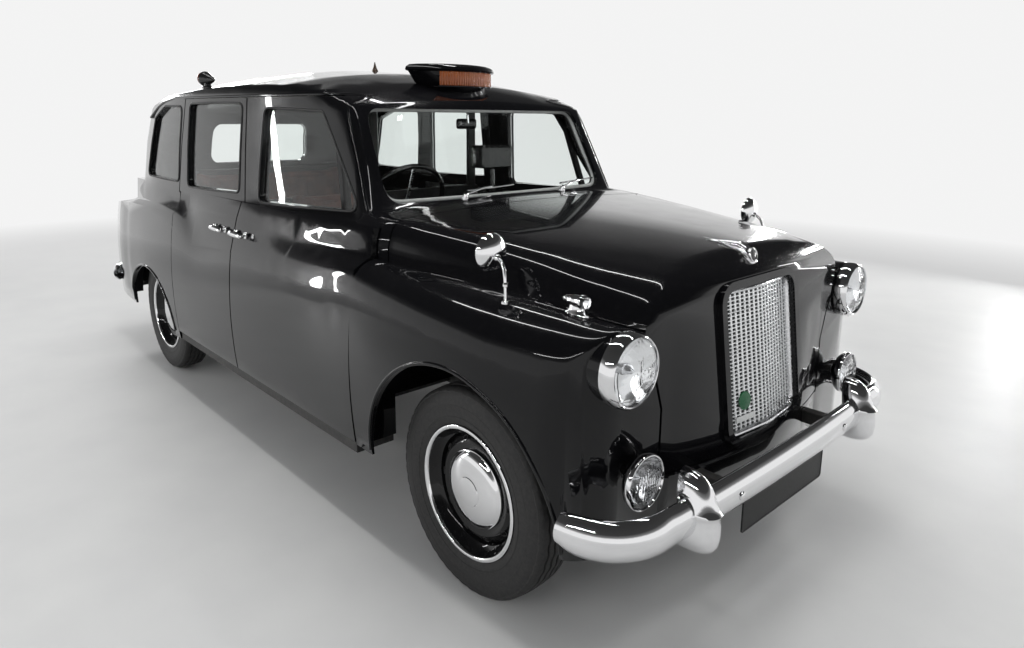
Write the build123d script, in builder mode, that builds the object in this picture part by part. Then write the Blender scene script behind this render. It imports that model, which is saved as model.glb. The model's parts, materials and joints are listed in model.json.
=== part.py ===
from build123d import *
from math import asin, cos, sin
import os

os.makedirs("parts", exist_ok=True)

# Purpose-built taxi cab of the 1960s, millimetres.
# +X is forward, +Y is the cab's left, +Z is up, and the ground is z = 0.

# Overall sizes
WHEELBASE = 2810
FRONT_AXLE_X = 1546
REAR_AXLE_X = FRONT_AXLE_X - WHEELBASE
HALF_TRACK = 711
FRONT_END_X = 2280
REAR_END_X = -2280

# Wheels and tyres
TYRE_R = 340
TYRE_W = 150
RIM_SEAT_R = 206
RIM_W = 118
HUB_CAP_R = 127
HUB_CAP_FACE = 60
HUB_BORE_R = 20
SPINDLE_GAP = 0.5

# Steering
KINGPIN_Y = 600

# Skins and gaps
WING_SKIN = 22
DOOR_WALL = 62
FRAME_WALL = 44
SHUT_GAP = 6
BONNET_GAP = 10
BONNET_LIP = 8
BONNET_EDGE = 0.5
SEAT_GAP = 0.3
GLASS_T = 6

# Shut lines
FRONT_DOOR_FRONT_X = 1012
DOOR_MEET_X = -24
REAR_DOOR_REAR_X = -800
DOOR_BOTTOM_Z = 345
BELT_Z = 1108
BONNET_REAR_X = 1075
NOSE_BOTTOM_Z = 500
SILL_BOTTOM_Z = 300

# Front body from the scuttle to the lamps, one row a station. Half-widths are from
# the centre line: seam is the joint of wing and bonnet, top the crest of the wing,
# side its widest point and low its bottom edge. Fullness is how square the bonnet is.
FRONT_COLUMNS = ("x", "seam_y", "seam_z", "top_y", "top_z", "shoulder_y", "shoulder_z",
                 "side_y", "side_z", "low_y", "crown_z", "fullness")
FRONT_ROWS = (
    (860, 756, 1006, 796, 994, 846, 938, 868, 620, 848, 1176, 1.0),
    (1000, 740, 1003, 790, 992, 846, 935, 868, 620, 848, 1168, 1.0),
    (1100, 727, 997, 786, 988, 848, 930, 869, 620, 849, 1160, 1.0),
    (1200, 718, 993, 781, 985, 849, 922, 870, 613, 849, 1153, 0.95),
    (1400, 684, 984, 770, 978, 850, 905, 870, 600, 850, 1139, 0.85),
    (1700, 640, 971, 740, 968, 838, 890, 860, 580, 842, 1115, 0.6),
    (1900, 620, 955, 705, 965, 812, 880, 835, 560, 818, 1096, 0.4),
    (2050, 578, 928, 676, 960, 785, 870, 800, 540, 785, 1080, 0.2),
    (2140, 566, 905, 672, 955, 775, 865, 785, 520, 775, 1060, 0.1),
)

# Half section of the bonnet from its seam to the crown, as parts of the half-width and
# of the rise: square at the scuttle, round at the nose.
SQUARE_SECTION = ((0.995, 0.36), (0.977, 0.63), (0.953, 0.77), (0.88, 0.872), (0.5, 0.96))
ROUND_SECTION = ((0.985, 0.2), (0.95, 0.38), (0.86, 0.6), (0.68, 0.82), (0.38, 0.945))

# Headlamps
LAMP_Y = 669
LAMP_Z = 861
LAMP_R = 102

# Bumpers
IRON_Y = 339
IRON_Z = 455
BLADE_H = 104
BLADE_T = 30

# Lower body side from the front doors to the tail: sill, widest point, crest of the
# swage, shelf above it and belt.
SIDE_COLUMNS = ("x", "sill_y", "side_y", "side_z", "crest_y", "crest_z", "shelf_y", "shelf_z",
                "belt_y")
SIDE_ROWS = (
    (1040, 846, 868, 620, 832, 975, 764, 1010, 752),
    (500, 848, 869, 600, 848, 930, 796, 1000, 768),
    (0, 848, 870, 580, 850, 892, 812, 1040, 786),
    (-520, 850, 870, 580, 852, 850, 812, 1030, 786),
    (-660, 850, 870, 600, 838, 978, 806, 1004, 786),
    (-1264, 848, 868, 600, 836, 974, 802, 1000, 780),
    (-1640, 836, 854, 580, 822, 962, 772, 990, 762),
)

# Tail of the rear wings behind the passenger cell.
TAIL_COLUMNS = ("x", "sill_y", "side_y", "side_z", "crest_y", "crest_z", "inner_y", "inner_z")
TAIL_ROWS = (
    (-1630, 834, 852, 580, 820, 960, 600, 985),
    (-1900, 818, 834, 570, 800, 945, 590, 965),
    (-2080, 795, 808, 560, 770, 925, 580, 940),
    (-2215, 760, 772, 550, 735, 890, 570, 905),
)

# Passenger cell in plan, one row a height: front edge on the centre line and at the
# pillar, side widths at the pillar, the door meeting and the rear quarter, and back edge.
CELL_COLUMNS = ("z", "front_x", "pillar_x", "pillar_y", "door_y", "quarter_x", "quarter_y",
                "back_x", "front_r", "back_r")
CELL_ROWS = (
    (1000, 988, 966, 712, 792, -1600, 780, -1690, 45, 180),
    (1100, 935, 914, 690, 782, -1580, 768, -1662, 45, 180),
    (1330, 820, 800, 664, 768, -1545, 745, -1612, 45, 190),
    (1560, 704, 686, 640, 748, -1462, 715, -1522, 45, 200),
    (1780, 592, 576, 622, 728, -1340, 672, -1400, 45, 200),
)

# Roof stations: height on the centre line and at the gutter.
ROOF_COLUMNS = ("x", "crown_z", "gutter_z")
ROOF_ROWS = (
    (1100, 1500, 1460),
    (780, 1530, 1478),
    (690, 1560, 1520),
    (520, 1630, 1575),
    (250, 1685, 1592),
    (-140, 1716, 1598),
    (-600, 1714, 1596),
    (-1000, 1690, 1576),
    (-1280, 1630, 1530),
    (-1450, 1555, 1470),
    (-1700, 1400, 1340),
)
ROOF_EDGE_Y = 760


def rows(columns, table):
    return [dict(zip(columns, row)) for row in table]


def plane_at(x):
    return Plane(origin=(x, 0, 0), x_dir=(0, 1, 0), z_dir=(1, 0, 0))


def front_section(row, inset, floor_z):
    """Half section of the front body, drawn in from the skin by inset."""
    with BuildSketch(plane_at(row["x"])) as section:
        with BuildLine():
            seam = (row["seam_y"] - inset * 0.9, row["seam_z"] - inset)
            low = (row["low_y"] - inset, floor_z)
            shoulder = (row["shoulder_y"] - inset, row["shoulder_z"] - inset * 0.5)
            crown = (0, row["crown_z"] - inset)
            rise = row["crown_z"] - row["seam_z"]
            full = row["fullness"]
            across = [(seam[0] * (full * square[0] + (1 - full) * plain[0]),
                       seam[1] + rise * (full * square[1] + (1 - full) * plain[1]))
                      for square, plain in zip(SQUARE_SECTION, ROUND_SECTION)]
            Line((0, floor_z), low)
            ThreePointArc(low, (row["side_y"] - inset, row["side_z"]), shoulder)
            ThreePointArc(shoulder, (row["top_y"] - inset * 0.3, row["top_z"] - inset), seam)
            ThreePointArc(seam, across[0], across[1])
            ThreePointArc(across[1], across[2], across[3])
            ThreePointArc(across[3], across[4], crown)
            Line(crown, (0, floor_z))
        make_face()
    return section.sketch


def side_section(row, inset, floor_z, top_z):
    """Half section of the lower body side, drawn in by inset."""
    with BuildSketch(plane_at(row["x"])) as section:
        with BuildLine():
            low = (row["sill_y"] - inset, floor_z)
            side = (row["side_y"] - inset, row["side_z"])
            crest = (row["crest_y"] - inset, row["crest_z"])
            shelf = (row["shelf_y"] - inset, row["shelf_z"])
            belt = (row["belt_y"] - inset, top_z)
            Line((0, floor_z), low)
            ThreePointArc(low, side, crest)
            Line(crest, shelf)
            Line(shelf, belt)
            Line(belt, (0, top_z))
            Line((0, top_z), (0, floor_z))
        make_face()
    return section.sketch


def tail_section(row, inset, floor_z):
    """Half section of the tail, deck height following the wing."""
    with BuildSketch(plane_at(row["x"])) as section:
        with BuildLine():
            low = (row["sill_y"] - inset, floor_z)
            side = (row["side_y"] - inset, row["side_z"])
            crest = (row["crest_y"] - inset, row["crest_z"] - inset * 0.5)
            inner = (row["inner_y"] - inset, row["inner_z"] - inset)
            Line((0, floor_z), low)
            ThreePointArc(low, side, crest)
            Line(crest, inner)
            Line(inner, (0, inner[1]))
            Line((0, inner[1]), (0, floor_z))
        make_face()
    return section.sketch


def cell_section(row, inset):
    """Plan of the passenger cell at one height."""
    with BuildSketch(Plane.XY.offset(row["z"])) as section:
        with BuildLine():
            front = (row["front_x"] - inset, 0)
            pillar_r = (row["pillar_x"] - inset, -row["pillar_y"] + inset)
            pillar_l = (row["pillar_x"] - inset, row["pillar_y"] - inset)
            door_r = (-300, -row["door_y"] + inset)
            door_l = (-300, row["door_y"] - inset)
            quarter_r = (row["quarter_x"] + inset, -row["quarter_y"] + inset)
            quarter_l = (row["quarter_x"] + inset, row["quarter_y"] - inset)
            back = (row["back_x"] + inset, 0)
            ThreePointArc(pillar_r, front, pillar_l)
            ThreePointArc(pillar_l, door_l, quarter_l)
            ThreePointArc(quarter_l, back, quarter_r)
            ThreePointArc(quarter_r, door_r, pillar_r)
        make_face()
        fillet(section.vertices().group_by(Axis.X)[-1], max(row["front_r"] - inset * 0.5, 8))
        fillet(section.vertices().group_by(Axis.X)[0], row["back_r"] - inset * 0.5)
    return section.sketch


def roof_section(row, drop):
    """Cross section under the roof skin, lowered by drop."""
    with BuildSketch(plane_at(row["x"])) as section:
        with BuildLine():
            left = (ROOF_EDGE_Y + 60, row["gutter_z"] - drop - 14)
            right = (-ROOF_EDGE_Y - 60, row["gutter_z"] - drop - 14)
            ThreePointArc(left, (0, row["crown_z"] - drop), right)
            Line(right, (-ROOF_EDGE_Y - 60, 1000))
            Line((-ROOF_EDGE_Y - 60, 1000), (ROOF_EDGE_Y + 60, 1000))
            Line((ROOF_EDGE_Y + 60, 1000), left)
        make_face()
    return section.sketch


def mass_of(sections):
    with BuildPart(mode=Mode.PRIVATE) as mass:
        loft(sections=sections, ruled=True)
    return mass.part


def side_prism(points, radius, near_y, far_y):
    """Prism along Y over a side view outline, from near_y to far_y."""
    with BuildPart(mode=Mode.PRIVATE) as prism:
        with BuildSketch(Plane(origin=(0, near_y, 0), x_dir=(1, 0, 0), z_dir=(0, -1, 0))) as outline:
            with BuildLine():
                Polyline(*points, close=True)
            make_face()
            if radius > 0:
                fillet(outline.vertices(), radius)
        extrude(amount=near_y - far_y)
    return prism.part


def front_prism(points, radius, near_x, far_x):
    """Prism along X over a front view outline, from near_x to far_x."""
    with BuildPart(mode=Mode.PRIVATE) as prism:
        with BuildSketch(plane_at(near_x)) as outline:
            with BuildLine():
                Polyline(*points, close=True)
            make_face()
            if radius > 0:
                fillet(outline.vertices(), radius)
        extrude(amount=far_x - near_x)
    return prism.part


def block(x0, x1, y0, y1, z0, z1):
    """Box between two corners, which may come in either order."""
    middle = Pos((x0 + x1) / 2, (y0 + y1) / 2, (z0 + z1) / 2)
    return middle * Box(abs(x1 - x0), abs(y1 - y0), abs(z1 - z0), mode=Mode.PRIVATE)


def rod(radius, x, y, z, length, axis="Y"):
    """Round bar centred on a point, along a named axis."""
    turn = {"X": Rot(0, 90, 0), "Y": Rot(90, 0, 0), "Z": Rot(0, 0, 0)}[axis]
    return Pos(x, y, z) * turn * Cylinder(radius, length, mode=Mode.PRIVATE)


def mirrored(shape):
    return shape.mirror(Plane.XZ)


def dome(base_x, rim_r, rise):
    """Arc from a rim to the axis whose centre lies on the axis."""
    radius = (rim_r ** 2 + rise ** 2) / (2 * rise)
    centre_x = base_x + rise - radius
    half_turn = asin(rim_r / radius) / 2
    return ThreePointArc((base_x, rim_r),
                         (centre_x + radius * cos(half_turn), radius * sin(half_turn)),
                         (base_x + rise, 0))


# Front body: skin, then shut lines
front_rows = rows(FRONT_COLUMNS, FRONT_ROWS)
side_rows = rows(SIDE_COLUMNS, SIDE_ROWS)
tail_rows = rows(TAIL_COLUMNS, TAIL_ROWS)
cell_rows = rows(CELL_COLUMNS, CELL_ROWS)
roof_rows = rows(ROOF_COLUMNS, ROOF_ROWS)
WING_BOTTOM_Z = 335
NOSE_Y = 487
NOSE_X = 2118
NOSE_LEAN = 57 / 443


def nose_plan(inset, margin):
    """Plan limit of the front body with its rounded corners."""
    with BuildPart(mode=Mode.PRIVATE) as limit:
        with BuildSketch(Plane.XY.offset(100)):
            with BuildLine():
                for side in (1, -1):
                    Line((500, side * 1000), (1925 - inset, side * 1000))
                    Line((1925 - inset, side * 1000), (1925 - inset, side * (832 + margin)))
                    ThreePointArc((1925 - inset, side * (832 + margin)),
                                  (2012 - inset, side * (770 - inset * 0.5)),
                                  (2050 - inset, side * 660))
                    Line((2050 - inset, side * 660), (2056 - inset, side * NOSE_Y))
                ThreePointArc((2056 - inset, NOSE_Y), (NOSE_X - inset, 0), (2056 - inset, -NOSE_Y))
                Line((500, 1000), (500, -1000))
            make_face()
        extrude(amount=1300)
    return limit.part


def nose_side(inset):
    """Side view limit of the front body: the leaning nose and its rolled top."""
    with BuildPart(mode=Mode.PRIVATE) as limit:
        with BuildSketch(Plane(origin=(0, 1000, 0), x_dir=(1, 0, 0), z_dir=(0, -1, 0))):
            with BuildLine():
                low = (NOSE_X - inset, 480)
                high = (NOSE_X - NOSE_LEAN * 510 - inset, 990)
                Polyline((500, 100), (NOSE_X - inset, 100), low, high)
                ThreePointArc(high, (2032 - inset, 1050 - inset * 0.5), (1975 - inset, 1092 - inset * 0.3))
                Polyline((1975 - inset, 1092 - inset * 0.3), (1900 - inset, 1400), (500, 1400), (500, 100))
            make_face()
        extrude(amount=2000)
    return limit.part


front_outer = mass_of([front_section(row, 0, WING_BOTTOM_Z) for row in front_rows])
front_outer = front_outer & nose_plan(0, 0) & nose_side(0)
front_inner = mass_of([front_section(row, WING_SKIN, 200) for row in front_rows])
front_inner = front_inner & nose_plan(WING_SKIN, -WING_SKIN) & nose_side(WING_SKIN)
front_skin = front_outer - front_inner


def bonnet_region(grow):
    """Space inside the shut line of the bonnet and nose."""
    sections = []
    for row in front_rows:
        with BuildSketch(plane_at(row["x"])) as section:
            seam = row["seam_y"] + grow
            lip_z = max(row["seam_z"] - BONNET_LIP - 2.5 * grow, 905)
            corner = min(LAMP_Y - LAMP_R - 11, seam - 20)
            points = [(0, NOSE_BOTTOM_Z - grow), (NOSE_Y + grow, NOSE_BOTTOM_Z - grow),
                      (NOSE_Y + grow, 700), (520 + grow, 800), (corner + grow, 868),
                      (corner + grow + 8, 905), (seam, lip_z), (seam, 1400), (0, 1400)]
            with BuildLine():
                Polyline(*points, close=True)
            make_face()
        sections.append(section.sketch)
    half = mass_of(sections)
    return half + mirrored(half)


def both_sides(half):
    return half + mirrored(half)


front_full = both_sides(front_skin)
bonnet_zone = bonnet_region(BONNET_EDGE)
open_zone = bonnet_region(BONNET_GAP)

# Grille place on the leaning nose
GRILLE_W = 420
GRILLE_H = 456
GRILLE_Z = 760
GRILLE_X = NOSE_X - NOSE_LEAN * (GRILLE_Z - 480)
grille_plane = Plane(origin=(GRILLE_X, 0, GRILLE_Z), x_dir=(0, 1, 0), z_dir=(1, 0, NOSE_LEAN))
SURROUND_W = 26
SURROUND_PROUD = 16
SURROUND_SEAT = 40


def grille_ring(width, height, wall, radius, start, stop):
    with BuildPart(mode=Mode.PRIVATE) as ring:
        with BuildSketch(grille_plane.offset(start)):
            RectangleRounded(width, height, radius)
            if wall > 0:
                RectangleRounded(width - 2 * wall, height - 2 * wall, radius - wall * 0.6,
                                 mode=Mode.SUBTRACT)
        extrude(amount=stop - start)
    return ring.part


GRILLE_CORNER_R = 46
with BuildPart() as bonnet:
    add(front_full & bonnet_zone & block(BONNET_REAR_X, 2200, -900, 900, 0, 1400))
    add(grille_ring(GRILLE_W + 2 * SURROUND_W, GRILLE_H + 2 * SURROUND_W, 0,
                    GRILLE_CORNER_R + SURROUND_W, -SURROUND_SEAT, SURROUND_PROUD))
    add(grille_ring(GRILLE_W, GRILLE_H, 0, GRILLE_CORNER_R, -3 * SURROUND_SEAT, 2 * SURROUND_SEAT),
        mode=Mode.SUBTRACT)
bonnet.part.label = "bonnet"
export_step(bonnet.part, "parts/bonnet.step")

GRILLE_COLS = 11
GRILLE_ROWS = 18
GRILLE_FRAME = 16
with BuildPart() as grille:
    add(grille_ring(GRILLE_W - 2 * SEAT_GAP, GRILLE_H - 2 * SEAT_GAP, GRILLE_FRAME,
                    GRILLE_CORNER_R, -22, 8))
    pitch_y = (GRILLE_W - 2 * GRILLE_FRAME) / GRILLE_COLS
    pitch_z = (GRILLE_H - 2 * GRILLE_FRAME) / GRILLE_ROWS
    with BuildSketch(grille_plane.offset(-12)):
        RectangleRounded(GRILLE_W - GRILLE_FRAME, GRILLE_H - GRILLE_FRAME, GRILLE_CORNER_R - 6)
        with GridLocations(pitch_y, pitch_z, GRILLE_COLS, GRILLE_ROWS):
            Rectangle(pitch_y - 10, pitch_z - 11, mode=Mode.SUBTRACT)
    extrude(amount=6)
grille.part.label = "grille"
export_step(grille.part, "parts/grille.step")

# Front wings, apron and inner wings
ARCH_R = 425
wing_stock = front_full - open_zone - block(500, FRONT_DOOR_FRONT_X + SHUT_GAP, -900, 900, 0, 1400)
arch = rod(ARCH_R, FRONT_AXLE_X, 0, TYRE_R, 2000)
lamp_seat_x = 2056
for side, name in ((-1, "front_wing_right"), (1, "front_wing_left")):
    with BuildPart() as wing:
        add((wing_stock & block(900, 2300, min(0, side * 1000), max(0, side * 1000), 0, 1400)) - arch
            - block(1500, 2300, -NOSE_Y - SEAT_GAP, NOSE_Y + SEAT_GAP, 0, NOSE_BOTTOM_Z))
        add(rod(LAMP_R - 4, lamp_seat_x - 40, side * LAMP_Y, LAMP_Z, 80, "X") - open_zone)
    wing.part.label = name
    export_step(wing.part, "parts/" + name + ".step")

with BuildPart() as front_apron:
    add(front_full & block(1500, 2300, -NOSE_Y, NOSE_Y, 0, NOSE_BOTTOM_Z - SHUT_GAP))
    for side in (-1, 1):
        add(block(2000, 2200, side * (IRON_Y - 18), side * (IRON_Y + 18), IRON_Z - 24, IRON_Z + 24),
            mode=Mode.SUBTRACT)
front_apron.part.label = "front_apron"
export_step(front_apron.part, "parts/front_apron.step")
# Passenger cell and lower body: skins before the shut lines are cut
side_outer = mass_of([side_section(row, 0, SILL_BOTTOM_Z, BELT_Z) for row in side_rows])
side_inner = mass_of([side_section(row, DOOR_WALL, 200, BELT_Z + 50) for row in side_rows])
side_skin = both_sides(side_outer - side_inner)
tail_outer = mass_of([tail_section(row, 0, 330) for row in tail_rows])
tail_inner = mass_of([tail_section(row, 24, 200) for row in tail_rows])
tail_skin = both_sides(tail_outer - tail_inner)
cell_outer = mass_of([cell_section(row, 0) for row in cell_rows])
cell_inner = mass_of([cell_section(row, FRAME_WALL) for row in cell_rows])
roof_outer = mass_of([roof_section(row, 0) for row in roof_rows])
roof_inner = mass_of([roof_section(row, 28) for row in roof_rows])
cell_skin = (cell_outer & roof_outer) - (cell_inner & roof_inner)

# Side view outlines of the doors above the belt, and of every side window
front_door_top = [(DOOR_MEET_X + 5, 1095), (888, 1095), (673, 1528), (600, 1566),
                  (DOOR_MEET_X + 5, 1566)]
rear_door_top = [(DOOR_MEET_X - 5, 1095), (DOOR_MEET_X - 5, 1566), (-712, 1566), (-812, 1095)]
front_window = [(103, 1120), (134, 1520), (540, 1504), (829, 1143)]
rear_window = [(-86, 1146), (-66, 1540), (-648, 1540), (-690, 1130)]
quarter_window = [(-826, 1147), (-772, 1530), (-1060, 1528), (-1236, 1470), (-1372, 1146)]
WINDOW_CORNER_R = 34

HANDLE_Y = 859
HANDLE_Z = 978
door_table = (
    ("front_door", DOOR_MEET_X + 5, FRONT_DOOR_FRONT_X, front_door_top, front_window, 62),
    ("rear_door", REAR_DOOR_REAR_X, DOOR_MEET_X - 5, rear_door_top, rear_window, -162),
)


def screen_zone(side):
    """Space inboard of the windscreen pillars, which the door tops leave free."""
    points = [(0, 1000), (side * 650, 1000), (side * 646, 1100), (side * 597, 1560),
              (side * 590, 1620), (0, 1620)]
    return front_prism(points, 0, 560, 1000)


PANE_CLEAR = 0.3
PANE_IN = 14
door_glass_outer = mass_of([cell_section(row, PANE_IN) for row in cell_rows])
door_glass_inner = mass_of([cell_section(row, PANE_IN + GLASS_T) for row in cell_rows])
pane_skin = door_glass_outer - door_glass_inner


def window_zone(points, side, clear):
    """Window outline carried through the side, shrunk all round by clear."""
    with BuildPart(mode=Mode.PRIVATE) as zone:
        with BuildSketch(Plane(origin=(0, side * 300, 0), x_dir=(1, 0, 0), z_dir=(0, -1, 0))) as outline:
            with BuildLine():
                Polyline(*points, close=True)
            make_face()
            fillet(outline.vertices(), WINDOW_CORNER_R)
            if clear > 0:
                offset(amount=-clear, mode=Mode.REPLACE)
        extrude(amount=-side * 650)
    return zone.part


DIVIDER_W = 22
divider_line = [(721 - DIVIDER_W / 2, 1100), (721 + DIVIDER_W / 2, 1100),
                (585 + DIVIDER_W / 2, 1530), (585 - DIVIDER_W / 2, 1530)]
for side, hand in ((-1, "right"), (1, "left")):
    for name, low_x, high_x, top_points, window_points, handle_x in door_table:
        lower = side_skin & block(low_x, high_x, min(0, side * 950), max(0, side * 950),
                                  DOOR_BOTTOM_Z, BELT_Z)
        upper = cell_skin & side_prism(top_points, 0, side * 560, side * 950)
        opening = window_zone(window_points, side, 0)
        pane = pane_skin & window_zone(window_points, side, PANE_CLEAR)
        with BuildPart() as door:
            add(lower)
            add(upper)
            add(screen_zone(side), mode=Mode.SUBTRACT)
            add(opening, mode=Mode.SUBTRACT)
            for stud in (-50, 50):
                add(rod(7, handle_x + stud, side * 838, HANDLE_Z, 44))
            add(rod(9, handle_x, side * HANDLE_Y, HANDLE_Z, 132, "X"))
            if name == "front_door":
                add(cell_skin & side_prism(divider_line, 0, side * 560, side * 950)
                    & window_zone(window_points, side, -1) & door_glass_outer)
        door.part.label = name + "_" + hand
        export_step(door.part, "parts/" + door.part.label + ".step")
        with BuildPart() as door_glass:
            if name == "front_door":
                add(pane - side_prism(divider_line, 0, side * 300, side * 950))
            else:
                add(pane)
        door_glass.part.label = name + "_glass_" + hand
        export_step(door_glass.part, "parts/" + door_glass.part.label + ".step")

# Scuttle with the bulkhead, the windscreen pillars and the screen frame
ROOF_SPLIT = [(1300, 1532), (678, 1532), (606, 1571), (-900, 1571), (-1180, 1532), (-1360, 1470),
              (-1900, 1470), (-1900, 1900), (1300, 1900)]
roof_zone = side_prism(ROOF_SPLIT, 0, -1000, 1000)
door_top_zones = (side_prism([(-60, 1090), (892, 1090), (677, 1529), (604, 1570), (-60, 1570)],
                             0, -1000, 1000)
                  + side_prism([(-20, 1090), (-20, 1570), (-716, 1570), (-817, 1090)], 0, -1000, 1000))
SCREEN_LOW = (606, 1166)
SCREEN_HIGH = (584, 1520)
SCREEN_CORNER_R = 62


def screen_outline(clear):
    points = [(-SCREEN_LOW[0], SCREEN_LOW[1]), SCREEN_LOW, SCREEN_HIGH, (-SCREEN_HIGH[0], SCREEN_HIGH[1])]
    with BuildPart(mode=Mode.PRIVATE) as zone:
        with BuildSketch(plane_at(500)) as outline:
            with BuildLine():
                Polyline(*points, close=True)
            make_face()
            fillet(outline.vertices(), SCREEN_CORNER_R)
            if clear > 0:
                offset(amount=-clear, mode=Mode.REPLACE)
        extrude(amount=415)
    return zone.part


BULKHEAD_X = 1036
BULKHEAD_T = 14
front_screen = cell_skin & block(540, 1300, -900, 900, 1010, 1600)
scuttle_top = (front_full & bonnet_zone & block(868, BONNET_REAR_X - SHUT_GAP, -900, 900, 900, 1400))
cowl_clear = block(500, FRONT_DOOR_FRONT_X + SHUT_GAP, 682, 950, 0, BELT_Z)
post_room = both_sides(mass_of([front_section(row, WING_SKIN + SEAT_GAP, 200) for row in front_rows]))
scuttle_room = both_sides(mass_of([front_section(row, 10, 200) for row in front_rows]))
HINGE_ZS = (480, 880)
HINGE_H = 44
with BuildPart() as scuttle:
    add((front_screen - roof_zone) - mirrored(cowl_clear) - cowl_clear)
    add(scuttle_top - mirrored(cowl_clear) - cowl_clear - cell_inner)
    add(door_top_zones - screen_zone(-1) - screen_zone(1), mode=Mode.SUBTRACT)
    add(screen_outline(0), mode=Mode.SUBTRACT)
    add(block(BULKHEAD_X, BULKHEAD_X + BULKHEAD_T, -720, 720, 500, 1060) & post_room)
    add(block(BULKHEAD_X, BULKHEAD_X + BULKHEAD_T, -640, 640, 1000, 1200) & scuttle_room)
    for side in (-1, 1):
        add(block(FRONT_DOOR_FRONT_X + SHUT_GAP, BULKHEAD_X + BULKHEAD_T, side * 703, side * 900,
                  DOOR_BOTTOM_Z, 1000) & post_room)
        for z in HINGE_ZS:
            add(block(FRONT_DOOR_FRONT_X + SEAT_GAP, BULKHEAD_X, side * 765, side * 800, z, z + HINGE_H))
        add(block(1040, BONNET_REAR_X - SEAT_GAP, side * 470, side * 520, 1112, 1142))
scuttle.part.label = "scuttle"
export_step(scuttle.part, "parts/scuttle.step")

with BuildPart() as roof:
    add(cell_skin & roof_zone)
roof.part.label = "roof"
export_step(roof.part, "parts/roof.step")

# Rear quarters, rear panel and tail
BACK_Y = 560
BOOT_Y = 578
BOOT_SKIN = 26
LID_Y = 540
LID_TOP_X = -1700
LID_BOTTOM_Z = 582
TAIL_X = -2182
REAR_ARCH_HALF = 385
REAR_ARCH_RISE = 286
REAR_ARCH_Z = 340
WHEEL_ROOM = 32
QUARTER_SKIN = 30


def boot_profile(inset):
    """Side view of the boot, from under the back window to the tail."""
    with BuildPart(mode=Mode.PRIVATE) as boot:
        with BuildSketch(Plane(origin=(0, BOOT_Y - inset, 0), x_dir=(1, 0, 0), z_dir=(0, -1, 0))):
            with BuildLine():
                start = (-1560, 1112 - inset)
                shoulder = (-2100 + inset * 0.6, 850 - inset * 0.6)
                ThreePointArc(start, (-1880, 1022 - inset), shoulder)
                ThreePointArc(shoulder, (-2166 + inset, 680), (TAIL_X + inset, 470))
                Polyline((TAIL_X + inset, 470), (TAIL_X + inset + 12, 340), (-1560, 340), start)
            make_face()
        extrude(amount=2 * (BOOT_Y - inset))
    return boot.part


def tail_plan(inset):
    """Plan limit that rounds the tail's corners."""
    with BuildPart(mode=Mode.PRIVATE) as limit:
        with BuildSketch(Plane.XY.offset(100)):
            with BuildLine():
                for side in (1, -1):
                    Line((0, side * 1000), (-1900, side * 1000))
                    Line((-1900, side * 1000), (-1900, side * (838 - inset)))
                    ThreePointArc((-1900, side * (838 - inset)),
                                  (-2076 + inset * 0.7, side * (772 - inset * 0.7)),
                                  (-2154 + inset, side * 620))
                    Line((-2154 + inset, side * 620), (TAIL_X + 14 + inset, side * 400))
                Line((TAIL_X + 14 + inset, 400), (TAIL_X + 14 + inset, -400))
                Line((0, 1000), (0, -1000))
            make_face()
        extrude(amount=1300)
    return limit.part


tail_full = both_sides((tail_outer & tail_plan(0)) - (tail_inner & tail_plan(24)))
boot_skin = boot_profile(0) - boot_profile(BOOT_SKIN) - block(-1560, -1300, -900, 900, 0, 1300)
boot_skin = boot_skin - (cell_outer & block(-1720, -1300, -900, 900, 1000, 1300))
WHEEL_BOX_Y = 540
WHEEL_BOX_TOP = 735
WHEEL_BOX_HALF = 395
FLOOR_T = 12
wheel_box_room = block(REAR_AXLE_X - WHEEL_BOX_HALF - SEAT_GAP, -1400, WHEEL_BOX_Y - 20, 620, 300,
                       WHEEL_BOX_TOP + FLOOR_T + SEAT_GAP)
boot_skin = boot_skin - wheel_box_room - mirrored(wheel_box_room)
lid_zone = block(-2400, LID_TOP_X, -LID_Y, LID_Y, LID_BOTTOM_Z, 1300)
lid_gap_zone = block(-2400, LID_TOP_X + SHUT_GAP, -LID_Y - SHUT_GAP, LID_Y + SHUT_GAP,
                     LID_BOTTOM_Z - SHUT_GAP, 1300)
back_window = [(-335, 1180), (335, 1180), (318, 1432), (-318, 1432)]
BACK_WINDOW_R = 60


def back_window_zone(clear):
    with BuildPart(mode=Mode.PRIVATE) as zone:
        with BuildSketch(plane_at(-1800)) as outline:
            with BuildLine():
                Polyline(*back_window, close=True)
            make_face()
            fillet(outline.vertices(), BACK_WINDOW_R)
            if clear > 0:
                offset(amount=-clear, mode=Mode.REPLACE)
        extrude(amount=500)
    return zone.part


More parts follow.
